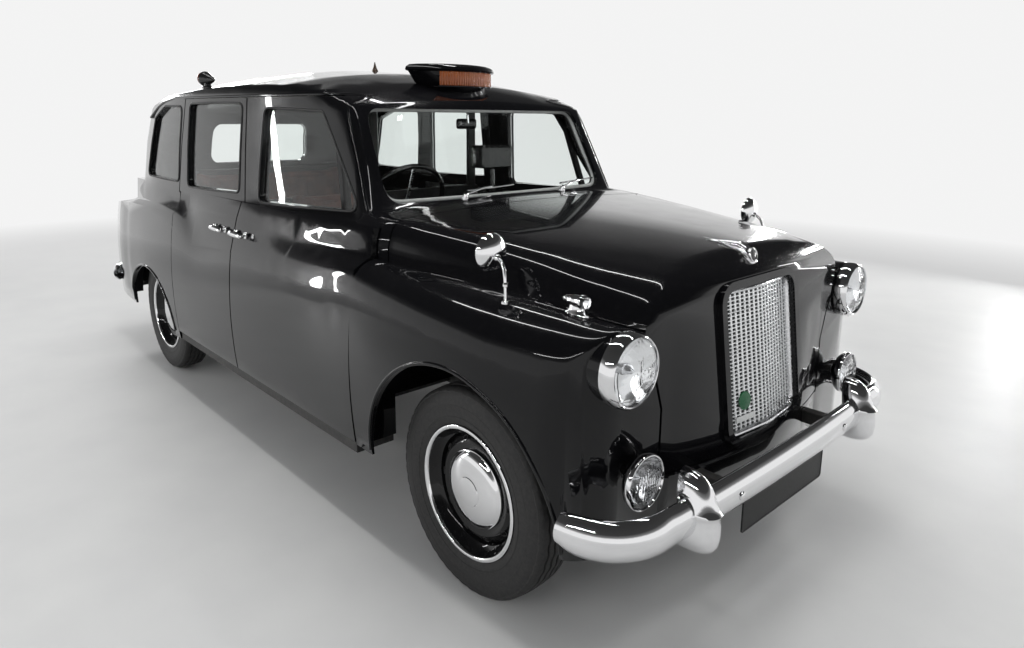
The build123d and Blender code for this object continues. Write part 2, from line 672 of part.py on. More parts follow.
with BuildPart(mode=Mode.PRIVATE) as rear_arch_cut:
    with BuildSketch(Plane(origin=(REAR_AXLE_X, 1000, REAR_ARCH_Z), x_dir=(1, 0, 0), z_dir=(0, -1, 0))):
        Ellipse(REAR_ARCH_HALF, REAR_ARCH_RISE)
        with Locations((0, -200)):
            Rectangle(2 * REAR_ARCH_HALF, 400)
    extrude(amount=2000)
rear_wheel_room = rod(TYRE_R + WHEEL_ROOM, REAR_AXLE_X, 0, TYRE_R, 2 * (868 - QUARTER_SKIN))
quarter_edge = [(-3000, 0), (-3000, 1470), (-1360, 1470), (-1180, 1532), (-900, 1571), (-722, 1571),
                (-823, 1090), (REAR_DOOR_REAR_X - SHUT_GAP, 1090), (REAR_DOOR_REAR_X - SHUT_GAP, 0)]
quarter_zone = side_prism(quarter_edge, 0, -1000, 1000)
for side, hand in ((-1, "right"), (1, "left")):
    half = block(-3000, 0, side * BACK_Y, side * 1000, 0, 1900)
    tail_half = block(-3000, -1640, side * BOOT_Y, side * 1000, 0, BELT_Z)
    with BuildPart() as quarter:
        add(side_skin & quarter_zone & half & block(-1640, 0, -1000, 1000, 0, BELT_Z))
        add(tail_full & tail_half)
        add(cell_skin & quarter_zone & half)
        add(window_zone(quarter_window, side, 0), mode=Mode.SUBTRACT)
        add(rear_arch_cut.part, mode=Mode.SUBTRACT)
        add(rear_wheel_room, mode=Mode.SUBTRACT)
        for z in HINGE_ZS:
            add(block(REAR_DOOR_REAR_X - SEAT_GAP, REAR_DOOR_REAR_X - 30, side * 815, side * 848, z,
                      z + HINGE_H))
    quarter.part.label = "rear_quarter_" + hand
    export_step(quarter.part, "parts/" + quarter.part.label + ".step")

with BuildPart() as rear_panel:
    add(boot_skin - lid_gap_zone)
    for side in (-1, 1):
        add(block(LID_TOP_X + SEAT_GAP, LID_TOP_X + 30, side * 380, side * 430, 1068, 1084))
    add(cell_skin & block(-1900, -1450, -BACK_Y, BACK_Y, 1000, 1470))
    add(back_window_zone(0), mode=Mode.SUBTRACT)
    for side in (-1, 1):
        add(block(-2300, -2100, side * (IRON_Y - 18), side * (IRON_Y + 18), IRON_Z - 24, IRON_Z + 24),
            mode=Mode.SUBTRACT)
rear_panel.part.label = "rear_panel"
export_step(rear_panel.part, "parts/rear_panel.step")

with BuildPart() as boot_lid:
    add(boot_skin & lid_zone)
boot_lid.part.label = "boot_lid"
export_step(boot_lid.part, "parts/boot_lid.step")

# Fixed glass: windscreen, quarter lights and back window
SCREEN_X = 885
SCREEN_LEAN = 0.524
SCREEN_BOW = 36


def screen_skin_section(z):
    """Plan strip of the bowed windscreen at one height."""
    x = SCREEN_X - SCREEN_LEAN * (z - 1172)
    half = 640
    bow = SCREEN_BOW * (half / 591) ** 2
    with BuildSketch(Plane.XY.offset(z)) as strip:
        with BuildLine():
            ThreePointArc((x - bow, -half), (x, 0), (x - bow, half))
            Line((x - bow, half), (x - bow - GLASS_T, half))
            ThreePointArc((x - bow - GLASS_T, half), (x - GLASS_T, 0), (x - bow - GLASS_T, -half))
            Line((x - bow - GLASS_T, -half), (x - bow, -half))
        make_face()
    return strip.sketch


screen_skin = mass_of([screen_skin_section(1120), screen_skin_section(1560)])
with BuildPart() as fixed_glass:
    add(screen_skin & screen_outline(PANE_CLEAR))
    add(pane_skin & back_window_zone(PANE_CLEAR))
    for side in (-1, 1):
        add(pane_skin & window_zone(quarter_window, side, PANE_CLEAR))
fixed_glass.part.label = "fixed_glass"
export_step(fixed_glass.part, "parts/fixed_glass.step")
# Floor with sills and rear wheel boxes
FLOOR_Z = 500
FLOOR_Y = 702
SILL_TOP_Z = DOOR_BOTTOM_Z - SHUT_GAP
WHEEL_BOX_OUT_Y = 770
with BuildPart() as floor_pan:
    add(block(REAR_AXLE_X + WHEEL_BOX_HALF, BULKHEAD_X - SEAT_GAP, -FLOOR_Y, FLOOR_Y, FLOOR_Z,
              FLOOR_Z + FLOOR_T))
    add(block(-2150, REAR_AXLE_X + WHEEL_BOX_HALF, -WHEEL_BOX_Y - 5, WHEEL_BOX_Y + 5, FLOOR_Z,
              FLOOR_Z + FLOOR_T))
    for side in (-1, 1):
        add(block(REAR_DOOR_REAR_X + 8, FRONT_DOOR_FRONT_X, side * (FLOOR_Y - 12), side * 846,
                  SILL_BOTTOM_Z, SILL_TOP_Z))
        add(block(REAR_DOOR_REAR_X + 8, FRONT_DOOR_FRONT_X, side * (FLOOR_Y - 12), side * FLOOR_Y,
                  SILL_BOTTOM_Z, FLOOR_Z + FLOOR_T))
        add(block(REAR_AXLE_X - WHEEL_BOX_HALF, REAR_AXLE_X + WHEEL_BOX_HALF,
                  side * WHEEL_BOX_Y, side * (WHEEL_BOX_Y + FLOOR_T), FLOOR_Z, WHEEL_BOX_TOP))
        add(block(REAR_AXLE_X - WHEEL_BOX_HALF, REAR_AXLE_X + WHEEL_BOX_HALF,
                  side * WHEEL_BOX_Y, side * WHEEL_BOX_OUT_Y, WHEEL_BOX_TOP, WHEEL_BOX_TOP + FLOOR_T))
        add(block(REAR_AXLE_X + WHEEL_BOX_HALF - 12, REAR_AXLE_X + WHEEL_BOX_HALF,
                  side * WHEEL_BOX_Y, side * WHEEL_BOX_OUT_Y, FLOOR_Z, WHEEL_BOX_TOP + FLOOR_T))
floor_pan.part.label = "floor_pan"
export_step(floor_pan.part, "parts/floor_pan.step")

# Chassis frame
RAIL_IN_Y = 318
RAIL_OUT_Y = 360
RAIL_LOW_Z = 420
CROSS_LOW_Z = 450
RAIL_FRONT_X = 2040
RAIL_REAR_X = -2140
with BuildPart() as chassis_frame:
    for side in (-1, 1):
        add(block(RAIL_REAR_X, RAIL_FRONT_X, side * RAIL_IN_Y, side * RAIL_OUT_Y, RAIL_LOW_Z,
                  FLOOR_Z - SEAT_GAP))
        for x in (-500, 300, 900):
            add(block(x - 30, x + 30, side * RAIL_OUT_Y, side * (FLOOR_Y - 12 - SEAT_GAP), 430,
                      FLOOR_Z - SEAT_GAP))
    for x in (-2080, -620, 200, 1980):
        add(block(x - 32, x + 32, -RAIL_IN_Y, RAIL_IN_Y, CROSS_LOW_Z, FLOOR_Z - SEAT_GAP))
chassis_frame.part.label = "chassis_frame"
export_step(chassis_frame.part, "parts/chassis_frame.step")

# Inner wings beside the engine
INNER_WING_Y = 350
INNER_WING_T = 8
with BuildPart() as inner_wings:
    for side in (-1, 1):
        add(block(BULKHEAD_X + BULKHEAD_T, 2026, side * INNER_WING_Y,
                  side * (INNER_WING_Y + INNER_WING_T), FLOOR_Z, 900))
        add(block(BULKHEAD_X + BULKHEAD_T, 1900, side * INNER_WING_Y, side * 585, 892, 900))
inner_wings.part.label = "inner_wings"
export_step(inner_wings.part, "parts/inner_wings.step")

# Engine as one plain block, gearbox with the propeller shaft
ENGINE_REAR_X = 1180
ENGINE_FRONT_X = 1830
ENGINE_LOW_Z = 432
with BuildPart() as engine:
    add(block(ENGINE_REAR_X, ENGINE_FRONT_X, -190, 190, ENGINE_LOW_Z, 900))
    add(block(1440, 1500, -RAIL_IN_Y + SEAT_GAP, RAIL_IN_Y - SEAT_GAP, ENGINE_LOW_Z, 490))
engine.part.label = "engine"
export_step(engine.part, "parts/engine.step")

SHAFT_Z = 372
SHAFT_R = 36
AXLE_TUBE_R = 42
DIFF_R = 128
GEARBOX_X = 640
with BuildPart() as driveline:
    bell_x = BULKHEAD_X + BULKHEAD_T + 5
    shaft_end_x = REAR_AXLE_X + DIFF_R + 10 + SEAT_GAP
    add(block(GEARBOX_X, bell_x, -95, 95, 330, 480))
    add(block(bell_x, ENGINE_REAR_X - SEAT_GAP, -140, 140, 345, 620))
    add(rod(SHAFT_R, (GEARBOX_X + shaft_end_x) / 2, 0, SHAFT_Z, GEARBOX_X - shaft_end_x, "X"))
    add(block(700, 750, -RAIL_IN_Y + SEAT_GAP, RAIL_IN_Y - SEAT_GAP, 440, 478))
driveline.part.label = "driveline"
export_step(driveline.part, "parts/driveline.step")

# Rear axle with its leaf springs
SPRING_HALF = 560
SPRING_T = 26
SPRING_EYE_R = 20
HUB_Y = HALF_TRACK - 14 - 5
with BuildPart() as rear_axle:
    with BuildSketch(Plane(origin=(REAR_AXLE_X, 0, TYRE_R), x_dir=(0, 1, 0), z_dir=(1, 0, 0))):
        with BuildLine():
            Line((-HUB_Y, 0), (-HUB_Y, AXLE_TUBE_R))
            Line((-HUB_Y, AXLE_TUBE_R), (-150, AXLE_TUBE_R))
            ThreePointArc((-150, AXLE_TUBE_R), (0, DIFF_R), (150, AXLE_TUBE_R))
            Line((150, AXLE_TUBE_R), (HUB_Y, AXLE_TUBE_R))
            Line((HUB_Y, AXLE_TUBE_R), (HUB_Y, 0))
            Line((HUB_Y, 0), (-HUB_Y, 0))
        make_face()
    revolve(axis=Axis((REAR_AXLE_X, 0, TYRE_R), (0, 1, 0)))
    add(rod(HUB_BORE_R - SPINDLE_GAP, REAR_AXLE_X, 0, TYRE_R, 2 * (HALF_TRACK + 18)))
    add(rod(SHAFT_R + 8, REAR_AXLE_X + DIFF_R - 5, 0, SHAFT_Z, 30, "X"))
    for side in (-1, 1):
        spring_y = side * (RAIL_IN_Y + 21) + 25
        with BuildSketch(Plane(origin=(REAR_AXLE_X, spring_y, 0), x_dir=(1, 0, 0), z_dir=(0, -1, 0))):
            low = TYRE_R - AXLE_TUBE_R + 6
            with BuildLine():
                ThreePointArc((-SPRING_HALF, 400 + SPRING_T / 2), (0, low),
                              (SPRING_HALF, 400 + SPRING_T / 2))
                Line((SPRING_HALF, 400 + SPRING_T / 2), (SPRING_HALF, 400 - SPRING_T / 2))
                ThreePointArc((SPRING_HALF, 400 - SPRING_T / 2), (0, low - SPRING_T),
                              (-SPRING_HALF, 400 - SPRING_T / 2))
                Line((-SPRING_HALF, 400 - SPRING_T / 2), (-SPRING_HALF, 400 + SPRING_T / 2))
            make_face()
        extrude(amount=50)
        for end in (-1, 1):
            add(rod(SPRING_EYE_R - SEAT_GAP, REAR_AXLE_X + end * (SPRING_HALF + 6),
                    side * (RAIL_IN_Y + 21), 400, 50))
rear_axle.part.label = "rear_axle"
export_step(rear_axle.part, "parts/rear_axle.step")

# Front suspension: cross member and wishbones, carrying the knuckles
UPRIGHT_R = 24
UPRIGHT_LOW_Z = 262
UPRIGHT_HIGH_Z = 430
ARM_T = 22
with BuildPart() as front_suspension:
    add(block(FRONT_AXLE_X - 45, FRONT_AXLE_X + 45, -RAIL_OUT_Y, RAIL_OUT_Y, 236, RAIL_LOW_Z - SEAT_GAP))
    for side in (-1, 1):
        for z in (UPRIGHT_LOW_Z - ARM_T - SEAT_GAP, UPRIGHT_HIGH_Z + SEAT_GAP):
            with BuildSketch(Plane.XY.offset(z)):
                with BuildLine():
                    Polyline((FRONT_AXLE_X - 110, side * RAIL_OUT_Y),
                             (FRONT_AXLE_X + 110, side * RAIL_OUT_Y),
                             (FRONT_AXLE_X + 22, side * (KINGPIN_Y + 22)),
                             (FRONT_AXLE_X - 22, side * (KINGPIN_Y + 22)), close=True)
                make_face()
            extrude(amount=ARM_T)
    for side in (-1, 1):
        add(block(FRONT_AXLE_X - 110, FRONT_AXLE_X + 110, side * (RAIL_IN_Y + 2), side * RAIL_OUT_Y,
                  236, 262))
        add(block(FRONT_AXLE_X - 110, FRONT_AXLE_X + 110, side * (RAIL_OUT_Y + SEAT_GAP),
                  side * (RAIL_OUT_Y + 14), 236, UPRIGHT_HIGH_Z + SEAT_GAP + ARM_T))
front_suspension.part.label = "front_suspension"
export_step(front_suspension.part, "parts/front_suspension.step")

# Wheels, tyres and steering knuckles
corners = (
    ("front_right", FRONT_AXLE_X, -1),
    ("front_left", FRONT_AXLE_X, 1),
    ("rear_right", REAR_AXLE_X, -1),
    ("rear_left", REAR_AXLE_X, 1),
)
for name, axle_x, side in corners:
    wheel_plane = Plane(origin=(axle_x, side * HALF_TRACK, TYRE_R), x_dir=(1, 0, 0), z_dir=(0, 0, side))
    spin = Axis((axle_x, side * HALF_TRACK, TYRE_R), (0, 1, 0))
    with BuildPart() as wheel:
        with BuildSketch(wheel_plane):
            with BuildLine():
                Polyline((0, 24), (0, HUB_CAP_FACE), (64, HUB_CAP_FACE - 4), (108, HUB_CAP_FACE - 14),
                         (HUB_CAP_R, 30), (134, 18), (180, 26), (192, RIM_W / 2 - 2),
                         (RIM_SEAT_R, RIM_W / 2),
                         (RIM_SEAT_R, -RIM_W / 2), (194, -RIM_W / 2), (178, -6), (70, -14),
                         (HUB_BORE_R, -14), (HUB_BORE_R, 24), (0, 24))
            make_face()
        revolve(axis=spin)
    wheel.part.label = "wheel_" + name
    export_step(wheel.part, "parts/" + wheel.part.label + ".step")
    with BuildPart() as tyre:
        with BuildSketch(wheel_plane):
            with BuildLine():
                wall = [(RIM_SEAT_R + SEAT_GAP, 60), (236, TYRE_W / 2 - 2), (282, TYRE_W / 2),
                        (TYRE_R - 15, 62), (TYRE_R, 40)]
                Polyline(*wall, *[(r, -y) for r, y in reversed(wall)], close=True)
            make_face()
        revolve(axis=spin)
    tyre.part.label = "tyre_" + name
    export_step(tyre.part, "parts/" + tyre.part.label + ".step")

for side, hand in ((-1, "right"), (1, "left")):
    with BuildPart() as knuckle:
        add(rod(UPRIGHT_R, FRONT_AXLE_X, side * KINGPIN_Y, (UPRIGHT_LOW_Z + UPRIGHT_HIGH_Z) / 2,
                UPRIGHT_HIGH_Z - UPRIGHT_LOW_Z, "Z"))
        add(rod(34, FRONT_AXLE_X, side * (KINGPIN_Y + 46), TYRE_R, 92))
        add(rod(HUB_BORE_R - SPINDLE_GAP, FRONT_AXLE_X, side * (HALF_TRACK - 30), TYRE_R, 96))
    knuckle.part.label = "knuckle_" + hand
    export_step(knuckle.part, "parts/" + knuckle.part.label + ".step")

# Bumpers: bowed blades with wrapped ends, overriders, irons and a bare plate


def blade_path(front_x, knee_drop, end_x, sign):
    """Plan path of a blade, centre at front_x and wrapped ends at end_x."""
    with BuildLine(Plane.XY.offset(IRON_Z), mode=Mode.PRIVATE) as path:
        knee_x = front_x - sign * knee_drop
        ThreePointArc((knee_x, -640), (front_x, 0), (knee_x, 640))
        for side in (-1, 1):
            ThreePointArc((knee_x, side * 640), (knee_x - sign * 66, side * 775), (end_x, side * 852))
    return path.wire()


def bumper(tip_x, knee_drop, end_x, sign, iron_from_x, over_y):
    """One bumper with its overriders and irons, sign +1 at the front."""
    front_x = tip_x - sign * OVER_REACH
    path = blade_path(front_x, knee_drop, end_x, sign)
    with BuildPart(mode=Mode.PRIVATE) as made:
        start = path.position_at(0.5)
        with BuildSketch(Plane(origin=start, x_dir=(-sign, 0, 0), z_dir=(0, 1, 0))):
            with BuildLine():
                half = BLADE_H / 2
                ThreePointArc((BLADE_T, -half), (0, 0), (BLADE_T, half))
                Line((BLADE_T, half), (BLADE_T + 8, half))
                Line((BLADE_T + 8, half), (BLADE_T + 8, -half))
                Line((BLADE_T + 8, -half), (BLADE_T, -half))
            make_face()
        sweep(path=path, transition=Transition.RIGHT)
        for side in (-1, 1):
            inner_x = front_x - sign * (BLADE_T + 6)
            add(block(iron_from_x, inner_x, side * (IRON_Y - 12), side * (IRON_Y + 12),
                      IRON_Z - 18, IRON_Z + 18))
            with BuildSketch(Plane(origin=(0, side * over_y - 45, 0), x_dir=(1, 0, 0), z_dir=(0, 1, 0))):
                with BuildLine():
                    waist_x = tip_x - sign * 28
                    Polyline((tip_x - sign * 64, -OVER_TOP_Z), (tip_x - sign * 74, -OVER_TOP_Z + 24),
                             (tip_x - sign * 74, -OVER_LOW_Z), (waist_x, -OVER_LOW_Z))
                    ThreePointArc((waist_x, -OVER_LOW_Z), (tip_x, -(OVER_LOW_Z + OVER_WAIST_Z) / 2),
                                  (waist_x, -OVER_WAIST_Z))
                    ThreePointArc((waist_x, -OVER_WAIST_Z), (tip_x - sign * 24, -OVER_WAIST_Z - 48),
                                  (tip_x - sign * 64, -OVER_TOP_Z))
                make_face()
            extrude(amount=90)
    return made.part


OVER_TOP_Z = 574
OVER_WAIST_Z = 472
OVER_LOW_Z = 352
OVER_REACH = 22
OVER_Y = 513
PLATE_W = 520
PLATE_H = 108
with BuildPart() as front_bumper:
    add(bumper(FRONT_END_X, 62, 2008, 1, RAIL_FRONT_X + SEAT_GAP, OVER_Y))
    add(block(2196, 2200, -PLATE_W / 2, PLATE_W / 2, IRON_Z - 60 - PLATE_H, IRON_Z - 56))
    add(block(2196, 2236, -30, 30, IRON_Z - 70, IRON_Z - 30))
front_bumper.part.label = "front_bumper"
export_step(front_bumper.part, "parts/front_bumper.step")
with BuildPart() as rear_bumper:
    add(bumper(REAR_END_X, 30, -2040, -1, RAIL_REAR_X - SEAT_GAP, OVER_Y))
rear_bumper.part.label = "rear_bumper"
export_step(rear_bumper.part, "parts/rear_bumper.step")

# Lamps
FOG_Y = 626
FOG_Z = 549
FOG_R = 78
with BuildPart() as headlamps:
    for side in (-1, 1):
        with BuildSketch(Plane(origin=(lamp_seat_x + SEAT_GAP, side * LAMP_Y, LAMP_Z), x_dir=(1, 0, 0),
                               z_dir=(0, -1, 0))):
            with BuildLine():
                Polyline((0, 0), (0, LAMP_R), (30, LAMP_R - 2), (42, LAMP_R - 12))
                dome(42, LAMP_R - 12, 14)
                Line((56, 0), (0, 0))
            make_face()
        revolve(axis=Axis((0, side * LAMP_Y, LAMP_Z), (1, 0, 0)))
headlamps.part.label = "headlamps"
export_step(headlamps.part, "parts/headlamps.step")

FOG_BACK_X = 2066
with BuildPart() as fog_lamps:
    for side in (-1, 1):
        with BuildSketch(Plane(origin=(FOG_BACK_X, side * FOG_Y, FOG_Z), x_dir=(1, 0, 0),
                               z_dir=(0, -1, 0))):
            with BuildLine():
                Line((0, 0), (0, 34))
                Polyline((0, 34), (12, 62), (36, FOG_R), (48, FOG_R))
                dome(48, FOG_R, 8)
                Line((56, 0), (0, 0))
            make_face()
        revolve(axis=Axis((0, side * FOG_Y, FOG_Z), (1, 0, 0)))
        add(rod(11, (FOG_BACK_X + 2 + 2051.9) / 2, side * FOG_Y, FOG_Z, FOG_BACK_X + 2 - 2051.9, "X"))
fog_lamps.part.label = "fog_lamps"
export_step(fog_lamps.part, "parts/fog_lamps.step")

SIDE_LAMP_X = 1884
SIDE_LAMP_Y = 657
SIDE_LAMP_Z = 1004
with BuildPart() as side_lamps:
    for side in (-1, 1):
        with BuildSketch(Plane(origin=(SIDE_LAMP_X, side * SIDE_LAMP_Y, SIDE_LAMP_Z), x_dir=(1, 0, 0),
                               z_dir=(0, -1, 0))):
            with BuildLine():
                Polyline((26, 20), (0, 20), (-60, 5), (-60, 0), (46, 0))
                dome(26, 20, 20)
            make_face()
        revolve(axis=Axis((0, side * SIDE_LAMP_Y, SIDE_LAMP_Z), (1, 0, 0)))
        add(block(SIDE_LAMP_X - 22, SIDE_LAMP_X + 22, side * (SIDE_LAMP_Y - 5), side * (SIDE_LAMP_Y + 5),
                  966, SIDE_LAMP_Z - 6))
    add(front_outer, mode=Mode.SUBTRACT)
    add(mirrored(front_outer), mode=Mode.SUBTRACT)
side_lamps.part.label = "side_lamps"
export_step(side_lamps.part, "parts/side_lamps.step")

TAIL_LAMP_X = -2148
TAIL_LAMP_Y = 680
with BuildPart() as tail_lamps:
    for side in (-1, 1):
        add(rod(36, TAIL_LAMP_X, side * TAIL_LAMP_Y, 760, 56, "X"))
        add(rod(30, TAIL_LAMP_X, side * TAIL_LAMP_Y, 660, 56, "X"))
    add(both_sides(tail_outer & tail_plan(0)), mode=Mode.SUBTRACT)
tail_lamps.part.label = "tail_lamps"
export_step(tail_lamps.part, "parts/tail_lamps.step")

# Roof sign, finial and roof indicators
SIGN_X = 496
SIGN_Y = 250
SIGN_FRONT_X = 640
SIGN_BACK_X = 455
SIGN_TOP_Z = 1716
with BuildPart() as roof_sign:
    with BuildSketch(Plane.XY.offset(1560)):
        with BuildLine():
            ThreePointArc((SIGN_X, -SIGN_Y), (SIGN_FRONT_X, 0), (SIGN_X, SIGN_Y))
            ThreePointArc((SIGN_X, SIGN_Y), (SIGN_BACK_X, 0), (SIGN_X, -SIGN_Y))
        make_face()
    extrude(amount=SIGN_TOP_Z - 1560)
    add(front_prism([(-300, 1700), (-300, 1560), (300, 1560), (300, 1700), (120, SIGN_TOP_Z),
                     (-120, SIGN_TOP_Z)], 0, 400, 700), mode=Mode.INTERSECT)
    add(front_prism([(-300, 1652), (-110, 1560), (-300, 1560)], 0, 400, 700), mode=Mode.SUBTRACT)
    add(front_prism([(300, 1652), (300, 1560), (110, 1560)], 0, 400, 700), mode=Mode.SUBTRACT)
    add(roof_outer, mode=Mode.SUBTRACT)
roof_sign.part.label = "roof_sign"
export_step(roof_sign.part, "parts/roof_sign.step")

EAR_X = -640
EAR_Y = 620
EAR_Z = 1632
EAR_R = 42
ear_axis = Vector(0, 80, 48)
with BuildPart() as roof_indicators:
    for side in (-1, 1):
        reach = Vector(0, side * ear_axis.Y, ear_axis.Z)
        ear_plane = Plane(origin=(EAR_X, side * (EAR_Y - 30), EAR_Z - 18), x_dir=(1, 0, 0), z_dir=reach)
        with BuildSketch(ear_plane):
            Circle(28)
        with BuildSketch(ear_plane.offset(84)):
            Circle(EAR_R - 2)
        loft()
        with BuildSketch(ear_plane.offset(84)):
            Circle(EAR_R - 2)
        with BuildSketch(ear_plane.offset(112)):
            Circle(EAR_R - 8)
        loft()
    add(roof_outer & cell_outer, mode=Mode.SUBTRACT)
    add(roof_outer, mode=Mode.SUBTRACT)
roof_indicators.part.label = "roof_indicators"
export_step(roof_indicators.part, "parts/roof_indicators.step")

with BuildPart() as finial:
    with BuildSketch(Plane.XY.offset(1716.4)):
        Circle(16)
    with BuildSketch(Plane.XY.offset(1762)):
        Circle(5)
    loft()
finial.part = Pos(-137, 0, 0) * finial.part
finial.part.label = "finial"
export_step(finial.part, "parts/finial.step")

# Wing mirrors on their stems, and the wipers
MIRROR_X = 1678
MIRROR_Y = 726
MIRROR_HEAD_X = 1599
MIRROR_HEAD_Z = 1107
MIRROR_R = 55
with BuildPart() as wing_mirrors:
    for side in (-1, 1):
        with BuildLine(Plane(origin=(0, side * MIRROR_Y, 0), x_dir=(1, 0, 0), z_dir=(0, -1, 0))) as stem:
            ThreePointArc((MIRROR_X, 962), (MIRROR_X - 14, 1036), (MIRROR_HEAD_X + 22, MIRROR_HEAD_Z))
        with BuildSketch(Plane(origin=(MIRROR_X, side * MIRROR_Y, 962), x_dir=(1, 0, 0), z_dir=(0, 0, 1))):
            Circle(7)
        sweep(path=stem.wire())
        with BuildSketch(Plane(origin=(MIRROR_HEAD_X, side * MIRROR_Y, MIRROR_HEAD_Z), x_dir=(1, 0, 0),
                               z_dir=(0, -1, 0))):
            with BuildLine():
                Line((0, 0), (0, MIRROR_R))
                dome(0, MIRROR_R, 34)
                Line((34, 0), (0, 0))
            make_face()
        revolve(axis=Axis((0, side * MIRROR_Y, MIRROR_HEAD_Z), (1, 0, 0)))
        add(rod(17, MIRROR_X, side * MIRROR_Y, 978, 34, "Z"))
    add(both_sides(front_outer), mode=Mode.SUBTRACT)
wing_mirrors.part.label = "wing_mirrors"
export_step(wing_mirrors.part, "parts/wing_mirrors.step")

WIPER_X = 912
WIPER_Y = 280
with BuildPart() as wipers:
    for y in (-WIPER_Y, WIPER_Y):
        add(rod(12, WIPER_X + 26, y, 1186, 40, "Z"))
        add(block(WIPER_X + 22, WIPER_X + 30, y, y + 300, 1194, 1204))
    add(scuttle_top, mode=Mode.SUBTRACT)
wipers.part.label = "wipers"
export_step(wipers.part, "parts/wipers.step")

# Bonnet ornament: a bare disc on a low winged base
with BuildPart() as bonnet_ornament:
    with BuildSketch(Plane.XZ.offset(-14)):
        with BuildLine():
            Polyline((1852, 1114), (2034, 1074), (2034, 1092), (2000, 1112), (1852, 1131), close=True)
        make_face()
    extrude(amount=28)
    add(rod(24, 2004, 0, 1108, 10, "X"))
    add(bonnet.part, mode=Mode.SUBTRACT)
bonnet_ornament.part.label = "bonnet_ornament"
export_step(bonnet_ornament.part, "parts/bonnet_ornament.step")

# Inside: dashboard with column, steering wheel, seats and partition
WHEEL_HUB = Vector(585, -345, 1110)
COLUMN_DIR = Vector(-0.866, 0, 0.5)
HUB_DEPTH = 34
STEERING_R = 206
DASH_Y = 618
with BuildPart() as dashboard:
    with BuildSketch(Plane(origin=(0, DASH_Y, 0), x_dir=(1, 0, 0), z_dir=(0, -1, 0))):
        with BuildLine():
            Polyline((BULKHEAD_X - SEAT_GAP, 1000), (BULKHEAD_X - SEAT_GAP, 900), (840, 880), (780, 920),
                     (770, 1080))
            ThreePointArc((770, 1080), (790, 1118), (840, 1128))
            Line((840, 1128), (BULKHEAD_X - SEAT_GAP, 1000))
        make_face()
    extrude(amount=2 * DASH_Y)
    column_start = WHEEL_HUB - COLUMN_DIR * (HUB_DEPTH + SEAT_GAP)
    with BuildSketch(Plane(origin=column_start, x_dir=(0, 1, 0), z_dir=-COLUMN_DIR)):
        Circle(24)
    extrude(amount=260)
    add(front_full, mode=Mode.SUBTRACT)
    add(cell_skin, mode=Mode.SUBTRACT)
dashboard.part.label = "dashboard"
export_step(dashboard.part, "parts/dashboard.step")

with BuildPart() as steering_wheel:
    wheel_face = Plane(origin=WHEEL_HUB, x_dir=(0, 1, 0), z_dir=COLUMN_DIR)
    with BuildSketch(Plane(origin=WHEEL_HUB, x_dir=(0, 1, 0), z_dir=wheel_face.y_dir)):
        with Locations((STEERING_R, 0)):
            RegularPolygon(11.5, 8)
    revolve(axis=Axis(WHEEL_HUB, COLUMN_DIR))
    with BuildSketch(wheel_face.offset(-HUB_DEPTH)):
        Circle(30)
    extrude(amount=HUB_DEPTH + 16)
    with BuildSketch(wheel_face.offset(-8)):
        Rectangle(2 * STEERING_R - 6, 22)
        with Locations((0, -STEERING_R / 2)):
            Rectangle(22, STEERING_R - 4)
    extrude(amount=10)
steering_wheel.part.label = "steering_wheel"
export_step(steering_wheel.part, "parts/steering_wheel.step")

SEAT_BASE_Z = FLOOR_Z + FLOOR_T + SEAT_GAP
with BuildPart() as driver_seat:
    add(block(40, 460, -560, -150, 560, 700))
    add(block(80, 420, -520, -190, SEAT_BASE_Z, 560))
    with BuildSketch(Plane(origin=(0, -150, 0), x_dir=(1, 0, 0), z_dir=(0, -1, 0))):
        with BuildLine():
            Polyline((40, 560), (130, 700), (0, 1140))
            ThreePointArc((0, 1140), (-50, 1172), (-96, 1140))
            Line((-96, 1140), (40, 560))
        make_face()
    extrude(amount=410)
driver_seat.part.label = "driver_seat"
export_step(driver_seat.part, "parts/driver_seat.step")

PARTITION_X = -160
with BuildPart() as partition:
    add(block(PARTITION_X - 24, PARTITION_X, -710, 710, SEAT_BASE_Z, 1090))
    add(block(PARTITION_X - 24, PARTITION_X, -690, -640, 1090, 1560))
    add(block(PARTITION_X - 24, PARTITION_X, 640, 690, 1090, 1560))
    add(block(PARTITION_X - 24, PARTITION_X, -20, 20, 1090, 1560))
    add(block(PARTITION_X - 24, PARTITION_X, -690, 690, 1520, 1560))
partition.part.label = "partition"
export_step(partition.part, "parts/partition.step")

with BuildPart() as rear_seat:
    add(block(-1460, -880, -530, 530, 760, 900))
    add(block(-1440, -900, -500, 500, SEAT_BASE_Z, 760))
    with BuildSketch(Plane(origin=(0, 530, 0), x_dir=(1, 0, 0), z_dir=(0, -1, 0))):
        with BuildLine():
            Polyline((-1460, 760), (-1300, 900), (-1370, 1140))
            ThreePointArc((-1370, 1140), (-1420, 1180), (-1480, 1150))
            Line((-1480, 1150), (-1460, 760))
        make_face()
    extrude(amount=1060)
rear_seat.part.label = "rear_seat"
export_step(rear_seat.part, "parts/rear_seat.step")

